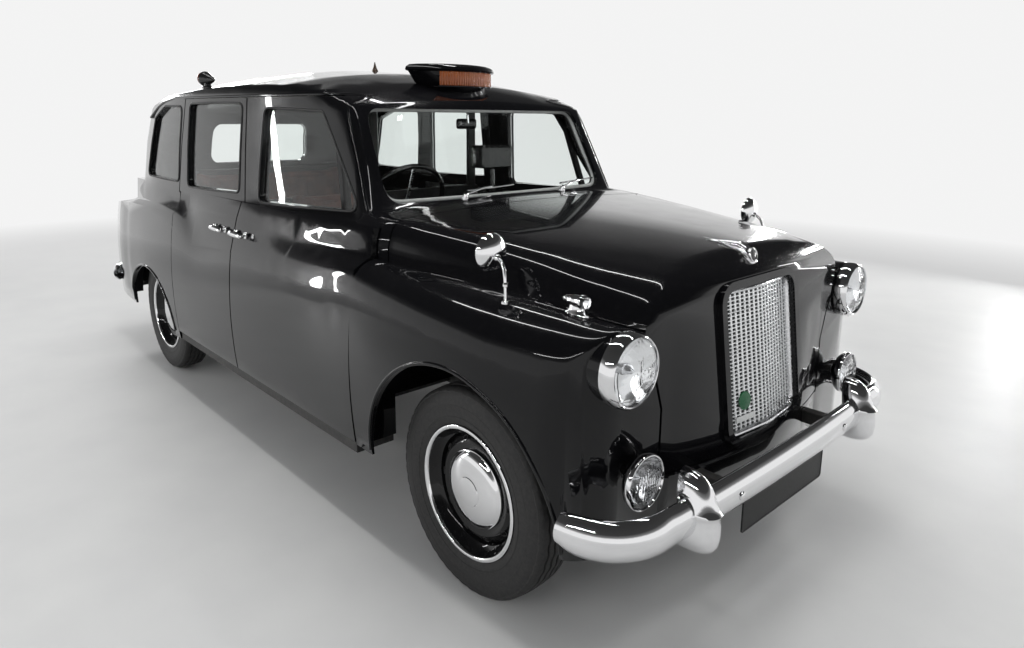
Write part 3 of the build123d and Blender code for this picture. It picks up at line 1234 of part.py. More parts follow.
# Door posts behind the meeting line of the doors
POST_CLEAR = 14
POST_DEPTH = 50
side_near = mass_of([side_section(row, DOOR_WALL + POST_CLEAR, 200, BELT_Z + 50) for row in side_rows])
side_deep = mass_of([side_section(row, DOOR_WALL + POST_DEPTH, 100, BELT_Z + 90) for row in side_rows])
cell_near = mass_of([cell_section(row, FRAME_WALL + POST_CLEAR) for row in cell_rows])
cell_deep = mass_of([cell_section(row, FRAME_WALL + POST_DEPTH) for row in cell_rows])
with BuildPart() as door_posts:
    add(both_sides(side_near - side_deep) & block(DOOR_MEET_X - 38, DOOR_MEET_X + 38, -900, 900,
                                                  SILL_TOP_Z + SEAT_GAP, BELT_Z))
    add((cell_near - cell_deep) & roof_inner & block(DOOR_MEET_X - 38, DOOR_MEET_X + 38, -900, 900,
                                                     BELT_Z, 1700))
door_posts.part.label = "door_posts"
export_step(door_posts.part, "parts/door_posts.step")

# Exhaust and fuel tank under the floor
with BuildPart() as exhaust:
    add(rod(22, -480, 250, 420, 2240, "X"))
    add(rod(58, -200, 250, 390, 480, "X"))
    for x in (-620, 200):
        add(block(x - 10, x + 10, 244, 256, 430, CROSS_LOW_Z - SEAT_GAP))
exhaust.part.label = "exhaust"
export_step(exhaust.part, "parts/exhaust.step")
with BuildPart() as fuel_tank:
    add(block(-2020, -1680, -300, 300, 330, FLOOR_Z - SEAT_GAP))
    fillet(fuel_tank.edges().filter_by(Axis.X), 30)
fuel_tank.part.label = "fuel_tank"
export_step(fuel_tank.part, "parts/fuel_tank.step")
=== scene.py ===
"""A 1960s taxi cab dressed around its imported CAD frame. Places and sizes are in metres,
the profiles of turned pieces in millimetres."""
import json
from math import asin, atan2, cos, pi, radians, sin, sqrt

import bmesh
import bpy
import numpy as np
from mathutils import Matrix, Vector


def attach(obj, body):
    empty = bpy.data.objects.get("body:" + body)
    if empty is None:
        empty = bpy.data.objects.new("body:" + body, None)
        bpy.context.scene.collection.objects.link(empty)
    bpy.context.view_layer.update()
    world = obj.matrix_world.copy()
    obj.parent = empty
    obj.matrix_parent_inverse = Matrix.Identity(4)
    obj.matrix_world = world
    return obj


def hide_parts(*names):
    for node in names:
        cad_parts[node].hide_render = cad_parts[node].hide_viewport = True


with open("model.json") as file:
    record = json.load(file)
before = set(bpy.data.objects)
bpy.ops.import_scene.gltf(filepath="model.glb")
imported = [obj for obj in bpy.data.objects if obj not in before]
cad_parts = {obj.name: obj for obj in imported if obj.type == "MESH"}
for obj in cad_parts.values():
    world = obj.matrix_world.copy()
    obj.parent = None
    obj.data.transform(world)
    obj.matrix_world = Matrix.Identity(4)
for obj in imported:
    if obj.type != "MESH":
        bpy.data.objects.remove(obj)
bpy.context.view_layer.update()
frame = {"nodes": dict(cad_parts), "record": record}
NODES = frame["nodes"]
SIDES = ((-1, "right"), (1, "left"))
MM = 0.001

# Named places in metres, the same as the solids have
FRONT_AXLE_X = 1.546
REAR_AXLE_X = -1.264
HUB_Y = 0.711
TYRE_R = 0.340
LAMP_X = 2.0563
LAMP_Y = 0.669
LAMP_Z = 0.861
FOG_X = 2.066
FOG_Y = 0.626
FOG_Z = 0.549
WHEEL_HUB = Vector((0.585, -0.345, 1.110))


# Materials ---------------------------------------------------------------
NAME_OF = {}


def new_material(name, color, roughness, metallic=0.0, **sockets):
    """A principled material whose plain values sit on the shader's own sockets."""
    made = bpy.data.materials.new(name)
    NAME_OF[made] = name
    made.use_nodes = True
    shader = made.node_tree.nodes["Principled BSDF"]
    shader.inputs["Base Color"].default_value = (*color, 1)
    shader.inputs["Roughness"].default_value = roughness
    shader.inputs["Metallic"].default_value = metallic
    for key, value in sockets.items():
        shader.inputs[key.replace("_", " ")].default_value = value
    return made


def add_node(tree, kind, inputs=None, **settings):
    """A node with its settings, each input linked to a socket or given a value."""
    made = tree.nodes.new(kind)
    for key, value in settings.items():
        setattr(made, key, value)
    for key, value in (inputs or {}).items():
        if isinstance(value, bpy.types.NodeSocket):
            tree.links.new(value, made.inputs[key])
        else:
            made.inputs[key].default_value = value
    return made


def texture(made, kind, scale, detail=3.0, stretch=(1, 1, 1), **settings):
    """A procedural texture in object coordinates; returns its output socket."""
    tree = made.node_tree
    place = add_node(tree, "ShaderNodeTexCoord").outputs["Object"]
    mapping = add_node(tree, "ShaderNodeMapping", {"Vector": place, "Scale": stretch})
    node = add_node(tree, "ShaderNodeTex" + kind, {"Vector": mapping.outputs[0], "Scale": scale},
                    **settings)
    node.inputs["Detail"].default_value = detail
    return node.outputs["Distance" if kind == "Voronoi" else "Fac"]


def ramp(made, source, low, high, start=0.0, end=1.0):
    """Maps a texture to a range of values or colours."""
    node = add_node(made.node_tree, "ShaderNodeValToRGB", {"Fac": source})
    for element, value, position in zip(node.color_ramp.elements, (low, high), (start, end)):
        element.position = position
        element.color = (*((value,) * 3 if isinstance(value, float) else value), 1)
    return node.outputs["Color"]


def bump(made, source, distance):
    """Adds a height to the shader's normal, on top of any before it."""
    tree = made.node_tree
    normal = tree.nodes["Principled BSDF"].inputs["Normal"]
    node = add_node(tree, "ShaderNodeBump", {"Height": source, "Distance": distance,
                                             "Strength": 1.0})
    if normal.is_linked:
        tree.links.new(normal.links[0].from_socket, node.inputs["Normal"])
    tree.links.new(node.outputs["Normal"], normal)


def feed(made, source, socket):
    """Puts a texture's output on a socket of the material's shader."""
    made.node_tree.links.new(source, made.node_tree.nodes["Principled BSDF"].inputs[socket])


def paint(name, color, roughness, dust):
    """Polished enamel with faint orange peel, and faint dust in random patches."""
    made = new_material(name, color, roughness, Specular_IOR_Level=0.04, Coat_Weight=1.0,
                        Coat_Roughness=0.015, Coat_IOR=1.36)
    bump(made, texture(made, "Noise", 900, 2), 0.00002)
    haze = texture(made, "Noise", 9, 6)
    feed(made, ramp(made, haze, roughness * 0.75, roughness * 1.4, 0.35, 0.7), "Roughness")
    grime = texture(made, "Noise", 60, 8)
    feed(made, ramp(made, grime, color, tuple(c + dust for c in color), 0.55, 0.8), "Base Color")
    return made


def plated(name, color, roughness, fleck=1.0):
    """Bright plating with fine wipe marks and slight pitting."""
    made = new_material(name, color, roughness, 1.0)
    wipe = texture(made, "Noise", 24, 6, (1, 1, 6))
    feed(made, ramp(made, wipe, roughness * 0.5, roughness * 2.2, 0.35, 0.75), "Roughness")
    bump(made, texture(made, "Noise", 320, 3), 0.00004 * fleck)
    return made


def grained(name, color, other, roughness, scale, depth, metallic=0.0, **sockets):
    """A matt surface with two tones of one colour and a grain."""
    made = new_material(name, color, roughness, metallic, **sockets)
    feed(made, ramp(made, texture(made, "Noise", scale * 0.12, 6), color, other, 0.35, 0.7),
         "Base Color")
    feed(made, ramp(made, texture(made, "Noise", scale * 0.3, 4), roughness * 0.85,
                    min(1.0, roughness * 1.15)), "Roughness")
    bump(made, texture(made, "Noise", scale, 5), depth)
    return made


def see_through(name, color, roughness, ior=1.45):
    """Clear glass with a faint smear."""
    made = new_material(name, color, roughness, IOR=ior, Transmission_Weight=1.0)
    smear = texture(made, "Noise", 14, 5)
    feed(made, ramp(made, smear, roughness, roughness + 0.015, 0.5, 0.85), "Roughness")
    return made


def tinted(name, color, roughness, weight, low, high):
    """Lamp plastic: part clear, faintly pebbled, its tint uneven."""
    made = new_material(name, color, roughness, IOR=1.49, Transmission_Weight=weight)
    bump(made, texture(made, "Noise", 160, 3), 0.0001)
    feed(made, ramp(made, texture(made, "Noise", 22, 4), low, high), "Base Color")
    return made


def leather(name, color, dark):
    """Hide with pebbled grain, creases, and polish that varies along the creases."""
    made = new_material(name, color, 0.46)
    pebble = texture(made, "Voronoi", 520, feature="DISTANCE_TO_EDGE")
    bump(made, ramp(made, pebble, 0.0, 1.0, 0.0, 0.16), 0.00028)
    crease = texture(made, "Noise", 34, 7)
    bump(made, crease, 0.0011)
    feed(made, ramp(made, texture(made, "Noise", 11, 7), dark, color, 0.3, 0.68), "Base Color")
    feed(made, ramp(made, crease, 0.34, 0.62, 0.3, 0.7), "Roughness")
    return made


BODY = paint("body_black", (0.0035, 0.0035, 0.0042), 0.16, 0.003)
WHEEL_PAINT = paint("wheel_black", (0.006, 0.006, 0.0065), 0.22, 0.008)
CHASSIS = grained("chassis_black", (0.016, 0.016, 0.016), (0.04, 0.038, 0.035), 0.55, 420, 0.00025)
ENGINE = grained("engine_grey", (0.10, 0.115, 0.11), (0.17, 0.18, 0.17), 0.62, 300, 0.0006)
CHROME = plated("chrome", (0.86, 0.86, 0.87), 0.045)
BRIGHT = plated("satin_alloy", (0.74, 0.745, 0.76), 0.24, 3.0)
MESH = plated("grille_silver", (0.84, 0.85, 0.86), 0.34, 3.0)
REFLECTOR = plated("lamp_silver", (0.9, 0.9, 0.9), 0.05)
GLASS = see_through("glass", (0.94, 0.965, 0.955), 0.0, 1.27)
LENS = see_through("lamp_glass", (0.97, 0.98, 0.99), 0.02, 1.5)
MIRROR = new_material("mirror_glass", (0.9, 0.91, 0.92), 0.01, 1.0)
feed(MIRROR, ramp(MIRROR, texture(MIRROR, "Noise", 30, 4), 0.01, 0.04, 0.5, 0.8), "Roughness")
TYRE = grained("tyre", (0.012, 0.012, 0.0125), (0.024, 0.023, 0.022), 0.62, 700, 0.00016)
RUBBER = grained("rubber", (0.012, 0.012, 0.012), (0.022, 0.022, 0.022), 0.55, 520, 0.0001)
SEAL = grained("screen_rubber", (0.27, 0.28, 0.27), (0.34, 0.35, 0.34), 0.6, 420, 0.0001)
HIDE = leather("leather", (0.215, 0.080, 0.050), (0.115, 0.042, 0.028))
HIDE_BLACK = leather("black_hide", (0.022, 0.021, 0.021), (0.012, 0.012, 0.012))
VINYL = grained("dash", (0.016, 0.016, 0.016), (0.028, 0.027, 0.027), 0.5, 800, 0.0002)
HARD = new_material("black_bakelite", (0.01, 0.01, 0.01), 0.16, Coat_Weight=0.4)
bump(HARD, texture(HARD, "Noise", 260, 3), 0.00004)
feed(HARD, ramp(HARD, texture(HARD, "Noise", 18, 5), 0.12, 0.24), "Roughness")
HEADLINING = grained("headlining", (0.36, 0.34, 0.30), (0.42, 0.40, 0.36), 0.85, 520, 0.0004)
AMBER = tinted("amber", (0.42, 0.11, 0.02), 0.12, 0.4, (0.24, 0.055, 0.012), (0.46, 0.125, 0.024))
GLOBE = tinted("globe_amber", (0.16, 0.03, 0.012), 0.12, 0.25, (0.1, 0.018, 0.008),
               (0.2, 0.04, 0.014))
RED = tinted("red_lamp", (0.42, 0.008, 0.006), 0.1, 0.35, (0.3, 0.004, 0.004), (0.5, 0.012, 0.01))
PIPE = grained("exhaust_steel", (0.11, 0.085, 0.07), (0.2, 0.17, 0.15), 0.6, 200, 0.0006, 0.7)
FINIAL = grained("finial_brown", (0.03, 0.015, 0.008), (0.05, 0.028, 0.014), 0.4, 300, 0.0001)
PLATE = grained("blank_plate", (0.004, 0.004, 0.004), (0.007, 0.007, 0.007), 0.38, 400, 0.00002,
                0.0, Specular_IOR_Level=0.25)
GREEN = paint("green_enamel", (0.008, 0.10, 0.035), 0.2, 0.004)
LABEL = grained("plain_label", (0.62, 0.63, 0.62), (0.7, 0.7, 0.69), 0.5, 300, 0.00005)
DIAL = grained("dial_face", (0.012, 0.012, 0.012), (0.02, 0.02, 0.02), 0.4, 300, 0.00003)
ENAMEL_WHITE = grained("dial_white", (0.6, 0.6, 0.56), (0.68, 0.68, 0.62), 0.4, 300, 0.00003)

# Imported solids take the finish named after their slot
MATERIAL_OF_SLOT = {"mesh": MESH, **{NAME_OF[made]: made for made in (BODY, CHROME, GLASS, LENS,
                                                                      TYRE, WHEEL_PAINT, CHASSIS,
                                                                      ENGINE, HIDE, VINYL, AMBER,
                                                                      RED, PIPE, FINIAL)}}


# Making pieces -------------------------------------------------------------
def new_object(name, data):
    made = bpy.data.objects.new(name, data)
    bpy.context.scene.collection.objects.link(made)
    return made


def new_mesh(name, verts, faces, weld=0.0):
    """A mesh with its faces turned outward, and near points joined where asked."""
    data = bpy.data.meshes.new(name)
    data.from_pydata([tuple(v) for v in verts], [], faces)
    check = bmesh.new()
    check.from_mesh(data)
    if weld:
        bmesh.ops.remove_doubles(check, verts=check.verts, dist=weld)
    bmesh.ops.recalc_face_normals(check, faces=check.faces)
    check.to_mesh(data)
    check.free()
    return data


def evaluated(obj):
    """The mesh of an object after its modifiers, which are then cleared."""
    graph = bpy.context.evaluated_depsgraph_get()
    mesh = bpy.data.meshes.new_from_object(obj.evaluated_get(graph))
    obj.modifiers.clear()
    return mesh


def remesh(obj, voxel):
    """Gives an object an even skin of voxel-sized faces."""
    modifier = obj.modifiers.new("remesh", "REMESH")
    modifier.mode = "VOXEL"
    modifier.voxel_size = voxel
    obj.data = evaluated(obj)


def coordinates(mesh):
    """A mesh's points as an array with one row each."""
    flat = np.empty(len(mesh.vertices) * 3)
    mesh.vertices.foreach_get("co", flat)
    return flat.reshape(-1, 3)


def vertex_normals(mesh):
    flat = np.empty(len(mesh.vertices) * 3, dtype=np.float32)
    mesh.vertex_normals.foreach_get("vector", flat)
    return flat.reshape(-1, 3)


def new_group(name):
    """A geometry node tree with its way in and its way out."""
    tree = bpy.data.node_groups.new(name, "GeometryNodeTree")
    for way in ("INPUT", "OUTPUT"):
        tree.interface.new_socket("Geometry", in_out=way, socket_type="NodeSocketGeometry")
    return tree, tree.nodes.new("NodeGroupInput"), tree.nodes.new("NodeGroupOutput")


def smooth_group():
    """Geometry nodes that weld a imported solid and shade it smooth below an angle."""
    tree, start, end = new_group("weld_and_smooth")
    drop = add_node(tree, "GeometryNodeRemoveAttribute", {
        "Geometry": start.outputs[0], "Name": "custom_normal"})
    weld = add_node(tree, "GeometryNodeMergeByDistance", {
        "Geometry": drop.outputs["Geometry"], "Distance": PACKED_WELD})
    faces = add_node(tree, "GeometryNodeSetShadeSmooth", {"Geometry": weld.outputs["Geometry"]},
                     domain="FACE")
    angle = add_node(tree, "GeometryNodeInputMeshEdgeAngle").outputs["Unsigned Angle"]
    sharp = add_node(tree, "FunctionNodeCompare", {0: angle, 1: radians(SMOOTH_BELOW)})
    edges = add_node(tree, "GeometryNodeSetShadeSmooth", {"Geometry": faces.outputs["Geometry"],
                                                          "Selection": sharp.outputs["Result"],
                                                          "Shade Smooth": False}, domain="EDGE")
    tree.links.new(edges.outputs["Geometry"], end.inputs[0])
    return tree


PACKED_WELD = 0.00002
SMOOTH_BELOW = 24
PACKED_EDGE = 0.0015
SMOOTH = smooth_group()


def soften(obj, width, segments=3, angle=35):
    """Rounds the edges that are sharper than an angle."""
    bevel = obj.modifiers.new("edge", "BEVEL")
    bevel.width = width
    bevel.segments = segments
    bevel.limit_method = "ANGLE"
    bevel.angle_limit = radians(angle)
    bevel.harden_normals = True


def thicken(obj, thickness):
    """Makes a skin a sheet, half to either side."""
    solid = obj.modifiers.new("thickness", "SOLIDIFY")
    solid.thickness = thickness
    solid.offset = 0


def dress(node, made, edge):
    """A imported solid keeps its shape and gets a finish, smooth shading and soft edges."""
    obj = NODES[node]
    obj.data.materials.clear()
    obj.data.materials.append(made)
    obj.modifiers.new("smooth", "NODES").node_group = SMOOTH
    if edge:
        soften(obj, edge, 2, 40)


def finish_piece(obj, made, smooth_angle=35, body="root", slot=None):
    """Material, shading and body; the slot is not used."""
    obj.data.materials.append(made)
    obj.data.shade_smooth()
    if smooth_angle:
        obj.data.set_sharp_from_angle(angle=radians(smooth_angle))
    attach(obj, body)
    return obj


def mesh_piece(name, verts, faces, made, smooth_angle=35, **where):
    obj = new_object(name, new_mesh(name, verts, faces, 0.00001))
    return finish_piece(obj, made, smooth_angle, **where)


def grid_faces(rows, columns, wrap_rows=False, wrap_columns=False, first=0):
    faces = []
    for i in range(rows if wrap_rows else rows - 1):
        for j in range(columns if wrap_columns else columns - 1):
            a, b = i * columns + j, i * columns + (j + 1) % columns
            c, d = (i + 1) % rows * columns + (j + 1) % columns, (i + 1) % rows * columns + j
            faces.append([first + k for k in (a, b, c, d)])
    return faces


def capped(verts, count):
    """Verts and faces of a skin over closed rings of count points, both ends closed."""
    total = len(verts)
    faces = grid_faces(total // count, count, False, True)
    return verts, faces + [list(range(count)), list(range(total - count, total))]


def joined(parts):
    """One pair of verts and faces from several."""
    verts, faces = [], []
    for part_verts, part_faces in parts:
        faces += [[k + len(verts) for k in face] for face in part_faces]
        verts += part_verts
    return verts, faces


def merge(name, parts, made, smooth_angle=35, **where):
    return mesh_piece(name, *joined(parts), made, smooth_angle, **where)


def revolved(profile, origin, axis, segments=64, closed=False):
    """Verts and faces of a profile in millimetres, (along, radius), about an axis."""
    axis = Vector(axis).normalized()
    side = axis.orthogonal().normalized()
    other = axis.cross(side)
    verts = []
    for along, radius in profile:
        for k in range(segments):
            turn = 2 * pi * k / segments
            out = side * cos(turn) + other * sin(turn)
            verts.append(Vector(origin) + axis * along * MM + out * radius * MM)
    return verts, grid_faces(len(profile), segments, closed, True)


def turned_piece(name, profile, origin, axis, made, segments=64, closed=False, **where):
    return mesh_piece(name, *revolved(profile, origin, axis, segments, closed), made, **where)


def curve_piece(name, paths, radius, made, closed=False, smooth=True, **where):
    """A round bead or bar along each path of points."""
    data = bpy.data.curves.new(name, "CURVE")
    data.dimensions = "3D"
    data.bevel_depth = radius
    data.bevel_resolution = 3
    data.use_fill_caps = True
    data.resolution_u = 8
    for path in paths:
        spline = data.splines.new("NURBS" if smooth else "POLY")
        spline.points.add(len(path) - 1)
        for point, place in zip(spline.points, path):
            point.co = (*place, 1)
        spline.use_cyclic_u = closed
        if smooth:
            spline.order_u = 3
            spline.use_endpoint_u = not closed
    obj = new_object(name, data)
    bpy.context.view_layer.update()
    mesh = bpy.data.meshes.new_from_object(obj)
    bpy.data.objects.remove(obj)
    mesh.materials.clear()
    return finish_piece(new_object(name, mesh), made, 50, **where)


def sheet(corners, step):
    """Verts and faces of a four-cornered sheet, its other side moved by a step."""
    return corners + [c + step for c in corners], BOX_FACES


BOX_FACES = [[0, 3, 2, 1], [4, 5, 6, 7], [0, 1, 5, 4], [1, 2, 6, 5], [2, 3, 7, 6], [3, 0, 4, 7]]


def bar(low, high):
    """Verts and faces of a box between two corners."""
    (x0, y0, z0), (x1, y1, z1) = low, high
    base = [Vector(p) for p in ((x0, y0, z0), (x1, y0, z0), (x1, y1, z0), (x0, y1, z0))]
    return sheet(base, Vector((0, 0, z1 - z0)))


def surface_hit(names, start, direction, reach=3.0):
    """Nearest point of the named solids met from start along direction."""
    start, best = Vector(start), None
    for name in names:
        found, place, _, _ = NODES[name].ray_cast(start, Vector(direction), distance=reach)
        if found and (best is None or (place - start).length < (best - start).length):
            best = place.copy()
    return best


def height_on(names, x, y, start, missed=None, upward=-1):
    """Height at which a ray up or down from a start meets the named solids."""
    hit = surface_hit(names, (x, y, start), (0, 0, upward))
    return hit.z if hit else missed


def laid_on(names, starts, direction, lift=0.0):
    """Points where rays meet the solids, lifted off along the ray."""
    hits = [surface_hit(names, start, direction) for start in starts]
    return [hit - Vector(direction).normalized() * lift for hit in hits if hit]


def rounded(points, radius, count=5):
    """Closed outline in 2D with its corners rounded."""
    outline = []
    total = len(points)
    for k in range(total):
        before, here, after = (Vector(points[(k + d) % total]) for d in (-1, 0, 1))
        into, out = (before - here).normalized(), (after - here).normalized()
        half = into.angle(out) / 2
        reach = min(radius / max(0.2, abs(sin(half) / cos(half))), (before - here).length * 0.45,
                    (after - here).length * 0.45)
        start, end = here + into * reach, here + out * reach
        for step in range(count + 1):
            t = step / count
            outline.append(start * (1 - t) ** 2 + here * 2 * t * (1 - t) + end * t ** 2)
    return outline


def point_at(x, y, z):
    return Vector((x, y, z))


def rectangle(low, high, corner, count=5):
    (x0, y0), (x1, y1) = low, high
    return rounded([(x0, y0), (x1, y0), (x1, y1), (x0, y1)], corner, count)


def slab(low, high, corner, count, layers, place):
    """Verts and faces of a rounded rectangle stacked over (depth, inset) layers."""
    outline = rectangle(low, high, corner, count)
    low, high = Vector(low), Vector(high)
    middle, half = (low + high) / 2, (high - low) / 2
    verts = []
    for depth, inset in layers:
        for p in outline:
            gap = p - middle
            verts.append(place(depth, middle.x + gap.x * (1 - inset / abs(half.x)),
                               middle.y + gap.y * (1 - inset / half.y)))
    return capped(verts, len(outline))


def dense(points, step, closed=True):
    """The same outline with points no further apart than a step."""
    filled = []
    for a, b in zip(points, points[1:] + points[:1] if closed else points[1:]):
        a, b = Vector(a), Vector(b)
        count = max(1, int((b - a).length / step))
        filled += [a.lerp(b, k / count) for k in range(count)]
    return filled if closed else filled + [Vector(points[-1])]


# Camera, floor and light -----------------------------------------------------
CAMERA_AT = (3.1394, -2.0673, 1.4921)
CAMERA_TURN = (137.1348, -11.34846, 0.4594)
SENSOR_MM = 36
FOCAL_MM = 25.17
SHIFT_UP = -0.0622
VIEW_REACH = 200
FLOOR_HALF = 30.0
FLOOR_Z = -0.001
FADE_START = 3.2
FADE_END = 8.5
WHITE = (0.9, 0.9, 0.9, 1)
# Tone of the background against the height a ray looks at, as the z of its direction
WALL_STOPS = ((0.0, 0.90), (0.20, 0.90), (0.27, 0.22), (0.42, 0.045), (1.0, 0.03))
SKY = (0.95, 0.97, 1.0, 1)
SKY_STRENGTH = 0.36


def set_camera():
    """The photograph's view: place, turn and lens."""
    yaw, pitch, roll = (radians(turn) for turn in CAMERA_TURN)
    ahead = Vector((cos(yaw) * cos(pitch), sin(yaw) * cos(pitch), sin(pitch)))
    right = Vector((sin(yaw), -cos(yaw), 0))
    up = right.cross(ahead)
    across = right * cos(roll) + up * sin(roll)
    above = up * cos(roll) - right * sin(roll)
    data = bpy.data.cameras.new("camera")
    data.sensor_width = SENSOR_MM
    data.lens = FOCAL_MM
    data.shift_y = SHIFT_UP
    data.clip_end = VIEW_REACH
    camera = new_object("camera", data)
    turned = Matrix((across, above, -ahead)).transposed().to_4x4()
    camera.matrix_world = Matrix.Translation(CAMERA_AT) @ turned
    bpy.context.scene.camera = camera


def set_floor():
    """A pale floor that fades into the white background well away from the cab."""
    corners = [(x * FLOOR_HALF, y * FLOOR_HALF, FLOOR_Z)
               for x, y in ((-1, -1), (1, -1), (1, 1), (-1, 1))]
    data = bpy.data.meshes.new("floor")
    data.from_pydata(corners, [], [(0, 1, 2, 3)])
    floor_plane = new_object("floor", data)
    made = new_material("floor", (0.60, 0.60, 0.59), 0.5)
    speck = texture(made, "Noise", 3, 6)
    feed(made, ramp(made, speck, (0.58, 0.58, 0.575), (0.62, 0.62, 0.61), 0.3, 0.7), "Base Color")
    tree = made.node_tree
    place = add_node(tree, "ShaderNodeTexCoord").outputs["Object"]
    far = add_node(tree, "ShaderNodeVectorMath", {0: place}, operation="LENGTH")
    fade = add_node(tree, "ShaderNodeMapRange", {
        "Value": far.outputs["Value"], "From Min": FADE_START, "From Max": FADE_END})
    glow = add_node(tree, "ShaderNodeEmission", {"Color": WHITE})
    mix = add_node(tree, "ShaderNodeMixShader", {"Fac": fade.outputs["Result"],
                                                 1: tree.nodes["Principled BSDF"].outputs[0],
                                                 2: glow.outputs[0]})
    tree.links.new(mix.outputs[0], tree.nodes["Material Output"].inputs["Surface"])
    data.materials.append(made)


def set_world():
    """A white wall under a dark ceiling, the same for the camera, the gloss of the paint
    and the glass, and a soft even sky that lights the rest."""
    world = bpy.data.worlds.new("world")
    bpy.context.scene.world = world
    world.use_nodes = True
    tree = world.node_tree
    place = add_node(tree, "ShaderNodeTexCoord").outputs["Generated"]
    parts = add_node(tree, "ShaderNodeSeparateXYZ", {0: place})
    wall = add_node(tree, "ShaderNodeValToRGB", {"Fac": parts.outputs["Z"]})
    bands = wall.color_ramp
    bands.elements[0].position, bands.elements[1].position = WALL_STOPS[0][0], WALL_STOPS[-1][0]
    for position, _ in WALL_STOPS[1:-1]:
        bands.elements.new(position)
    for element, (_, tone) in zip(bands.elements, WALL_STOPS):
        element.color = (tone, tone, tone, 1)
    seen = tree.nodes["Background"]
    tree.links.new(wall.outputs["Color"], seen.inputs["Color"])
    lit = add_node(tree, "ShaderNodeBackground", {"Color": SKY, "Strength": SKY_STRENGTH})
    path = add_node(tree, "ShaderNodeLightPath")
    share = path.outputs["Is Camera Ray"]
    for ray in ("Is Glossy Ray", "Is Transmission Ray"):
        share = add_node(tree, "ShaderNodeMath", {0: share, 1: path.outputs[ray]},
                         operation="MAXIMUM").outputs[0]
    mix = add_node(tree, "ShaderNodeMixShader", {"Fac": share, 1: lit.outputs[0],
                                                 2: seen.outputs[0]})
    tree.links.new(mix.outputs[0], tree.nodes["World Output"].inputs["Surface"])


def area_light(name, place, target, width, height, power, mirrored=True):
    data = bpy.data.lights.new(name, "AREA")
    data.shape = "RECTANGLE"
    data.size, data.size_y = width, height
    data.energy = power
    lamp = new_object(name, data)
    lamp.location = place
    lamp.rotation_euler = (Vector(target) - Vector(place)).to_track_quat("-Z", "Y").to_euler()
    lamp.visible_glossy = mirrored


bpy.context.scene.view_settings.view_transform = "Standard"
set_camera()
set_floor()
set_world()
area_light("overhead", (0.3, 0.0, 5.2), (0.3, 0, 0), 6.0, 3.0, 130, False)
area_light("front_fill", (6.5, 1.5, 2.6), (1.5, 0.2, 0.7), 2.0, 4.0, 48, False)
area_light("right_fill", (1.5, -6.5, 2.4), (0.3, -0.5, 0.8), 5.0, 1.6, 46, False)
area_light("ceiling_tube_a", (0.6, -1.1, 4.6), (0.6, -1.1, 0), 5.0, 0.10, 40)
area_light("ceiling_tube_b", (0.6, 1.5, 4.6), (0.6, 1.5, 0), 5.0, 0.10, 40)
area_light("right_tube", (1.5, -6.0, 3.3), (0.3, -0.5, 0.8), 5.0, 0.08, 45)
area_light("left_tube_a", (3.4, 5.0, 1.5), (1.2, 0.3, 0.9), 0.10, 2.2, 30)
area_light("left_tube_b", (1.6, 5.6, 1.5), (1.0, 0.3, 0.9), 0.10, 2.2, 30)
area_light("left_tube_c", (-0.6, 5.6, 1.5), (0.6, 0.3, 0.9), 0.10, 2.2, 30)
area_light("back_right_tube", (-3.6, -3.4, 1.4), (-0.5, -0.6, 0.9), 0.10, 2.2, 30)
area_light("back_wall", (-6.0, 0.5, 2.6), (-1.5, 0.0, 0.7), 4.0, 0.5, 70)

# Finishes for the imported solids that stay
EDGELESS = ("fixed_glass", "front_door_glass_right", "front_door_glass_left",
            "rear_door_glass_right", "rear_door_glass_left")
for entry in frame["record"]["subparts"]:
    node = entry["node"]
    dress(node, MATERIAL_OF_SLOT[entry["material_slot"]], 0 if node in EDGELESS else PACKED_EDGE)
NODES["inner_wings"].data.materials[0] = CHASSIS


# Wheels and tyres ----------------------------------------------------------------
TREAD_HALF = 0.056
GROOVES = (-0.036, -0.012, 0.012, 0.036)
GROOVE_W = 0.0042
GROOVE_DEPTH = 0.007
ZIGZAG = 0.0022
SHOULDER_NOTCH = 0.0028
TYRE_STEPS = 150
VENT_HOLES = 10


def tyre_outline():
    """Half outlines joined: (across, radius, how far the tread's zigzag moves it)."""
    points = []
    edges = [-TREAD_HALF]
    for groove in GROOVES:
        edges += [groove + GROOVE_W * share for share in (-1, -0.55, 0.55, 1)]
    edges.append(TREAD_HALF)
    for k, across in enumerate(edges):
        crown = TYRE_R - 0.0005 - 0.004 * (across / TREAD_HALF) ** 2
        sunk = k % 4 in (2, 3) and 0 < k < len(edges) - 1
        sway = 0 if abs(across) == TREAD_HALF else 1
        points.append((across, crown - (GROOVE_DEPTH if sunk else 0), sway))
    wall = [(0.0632, 0.3305), (0.0668, 0.3255), (0.0662, 0.3215), (0.0700, 0.314), (0.0728, 0.300),
            (0.0742, 0.284), (0.0747, 0.2835), (0.0747, 0.2795), (0.0742, 0.279), (0.0738, 0.262),
            (0.0715, 0.246), (0.0722, 0.2455), (0.0720, 0.2415), (0.0708, 0.241), (0.0665, 0.226),
            (0.0630, 0.218), (0.0600, 0.2135), (0.0480, 0.2085)]
    right = [(x, r, 0) for x, r in wall]
    left = [(-x, r, 0) for x, r in reversed(wall)]
    return left + points + right


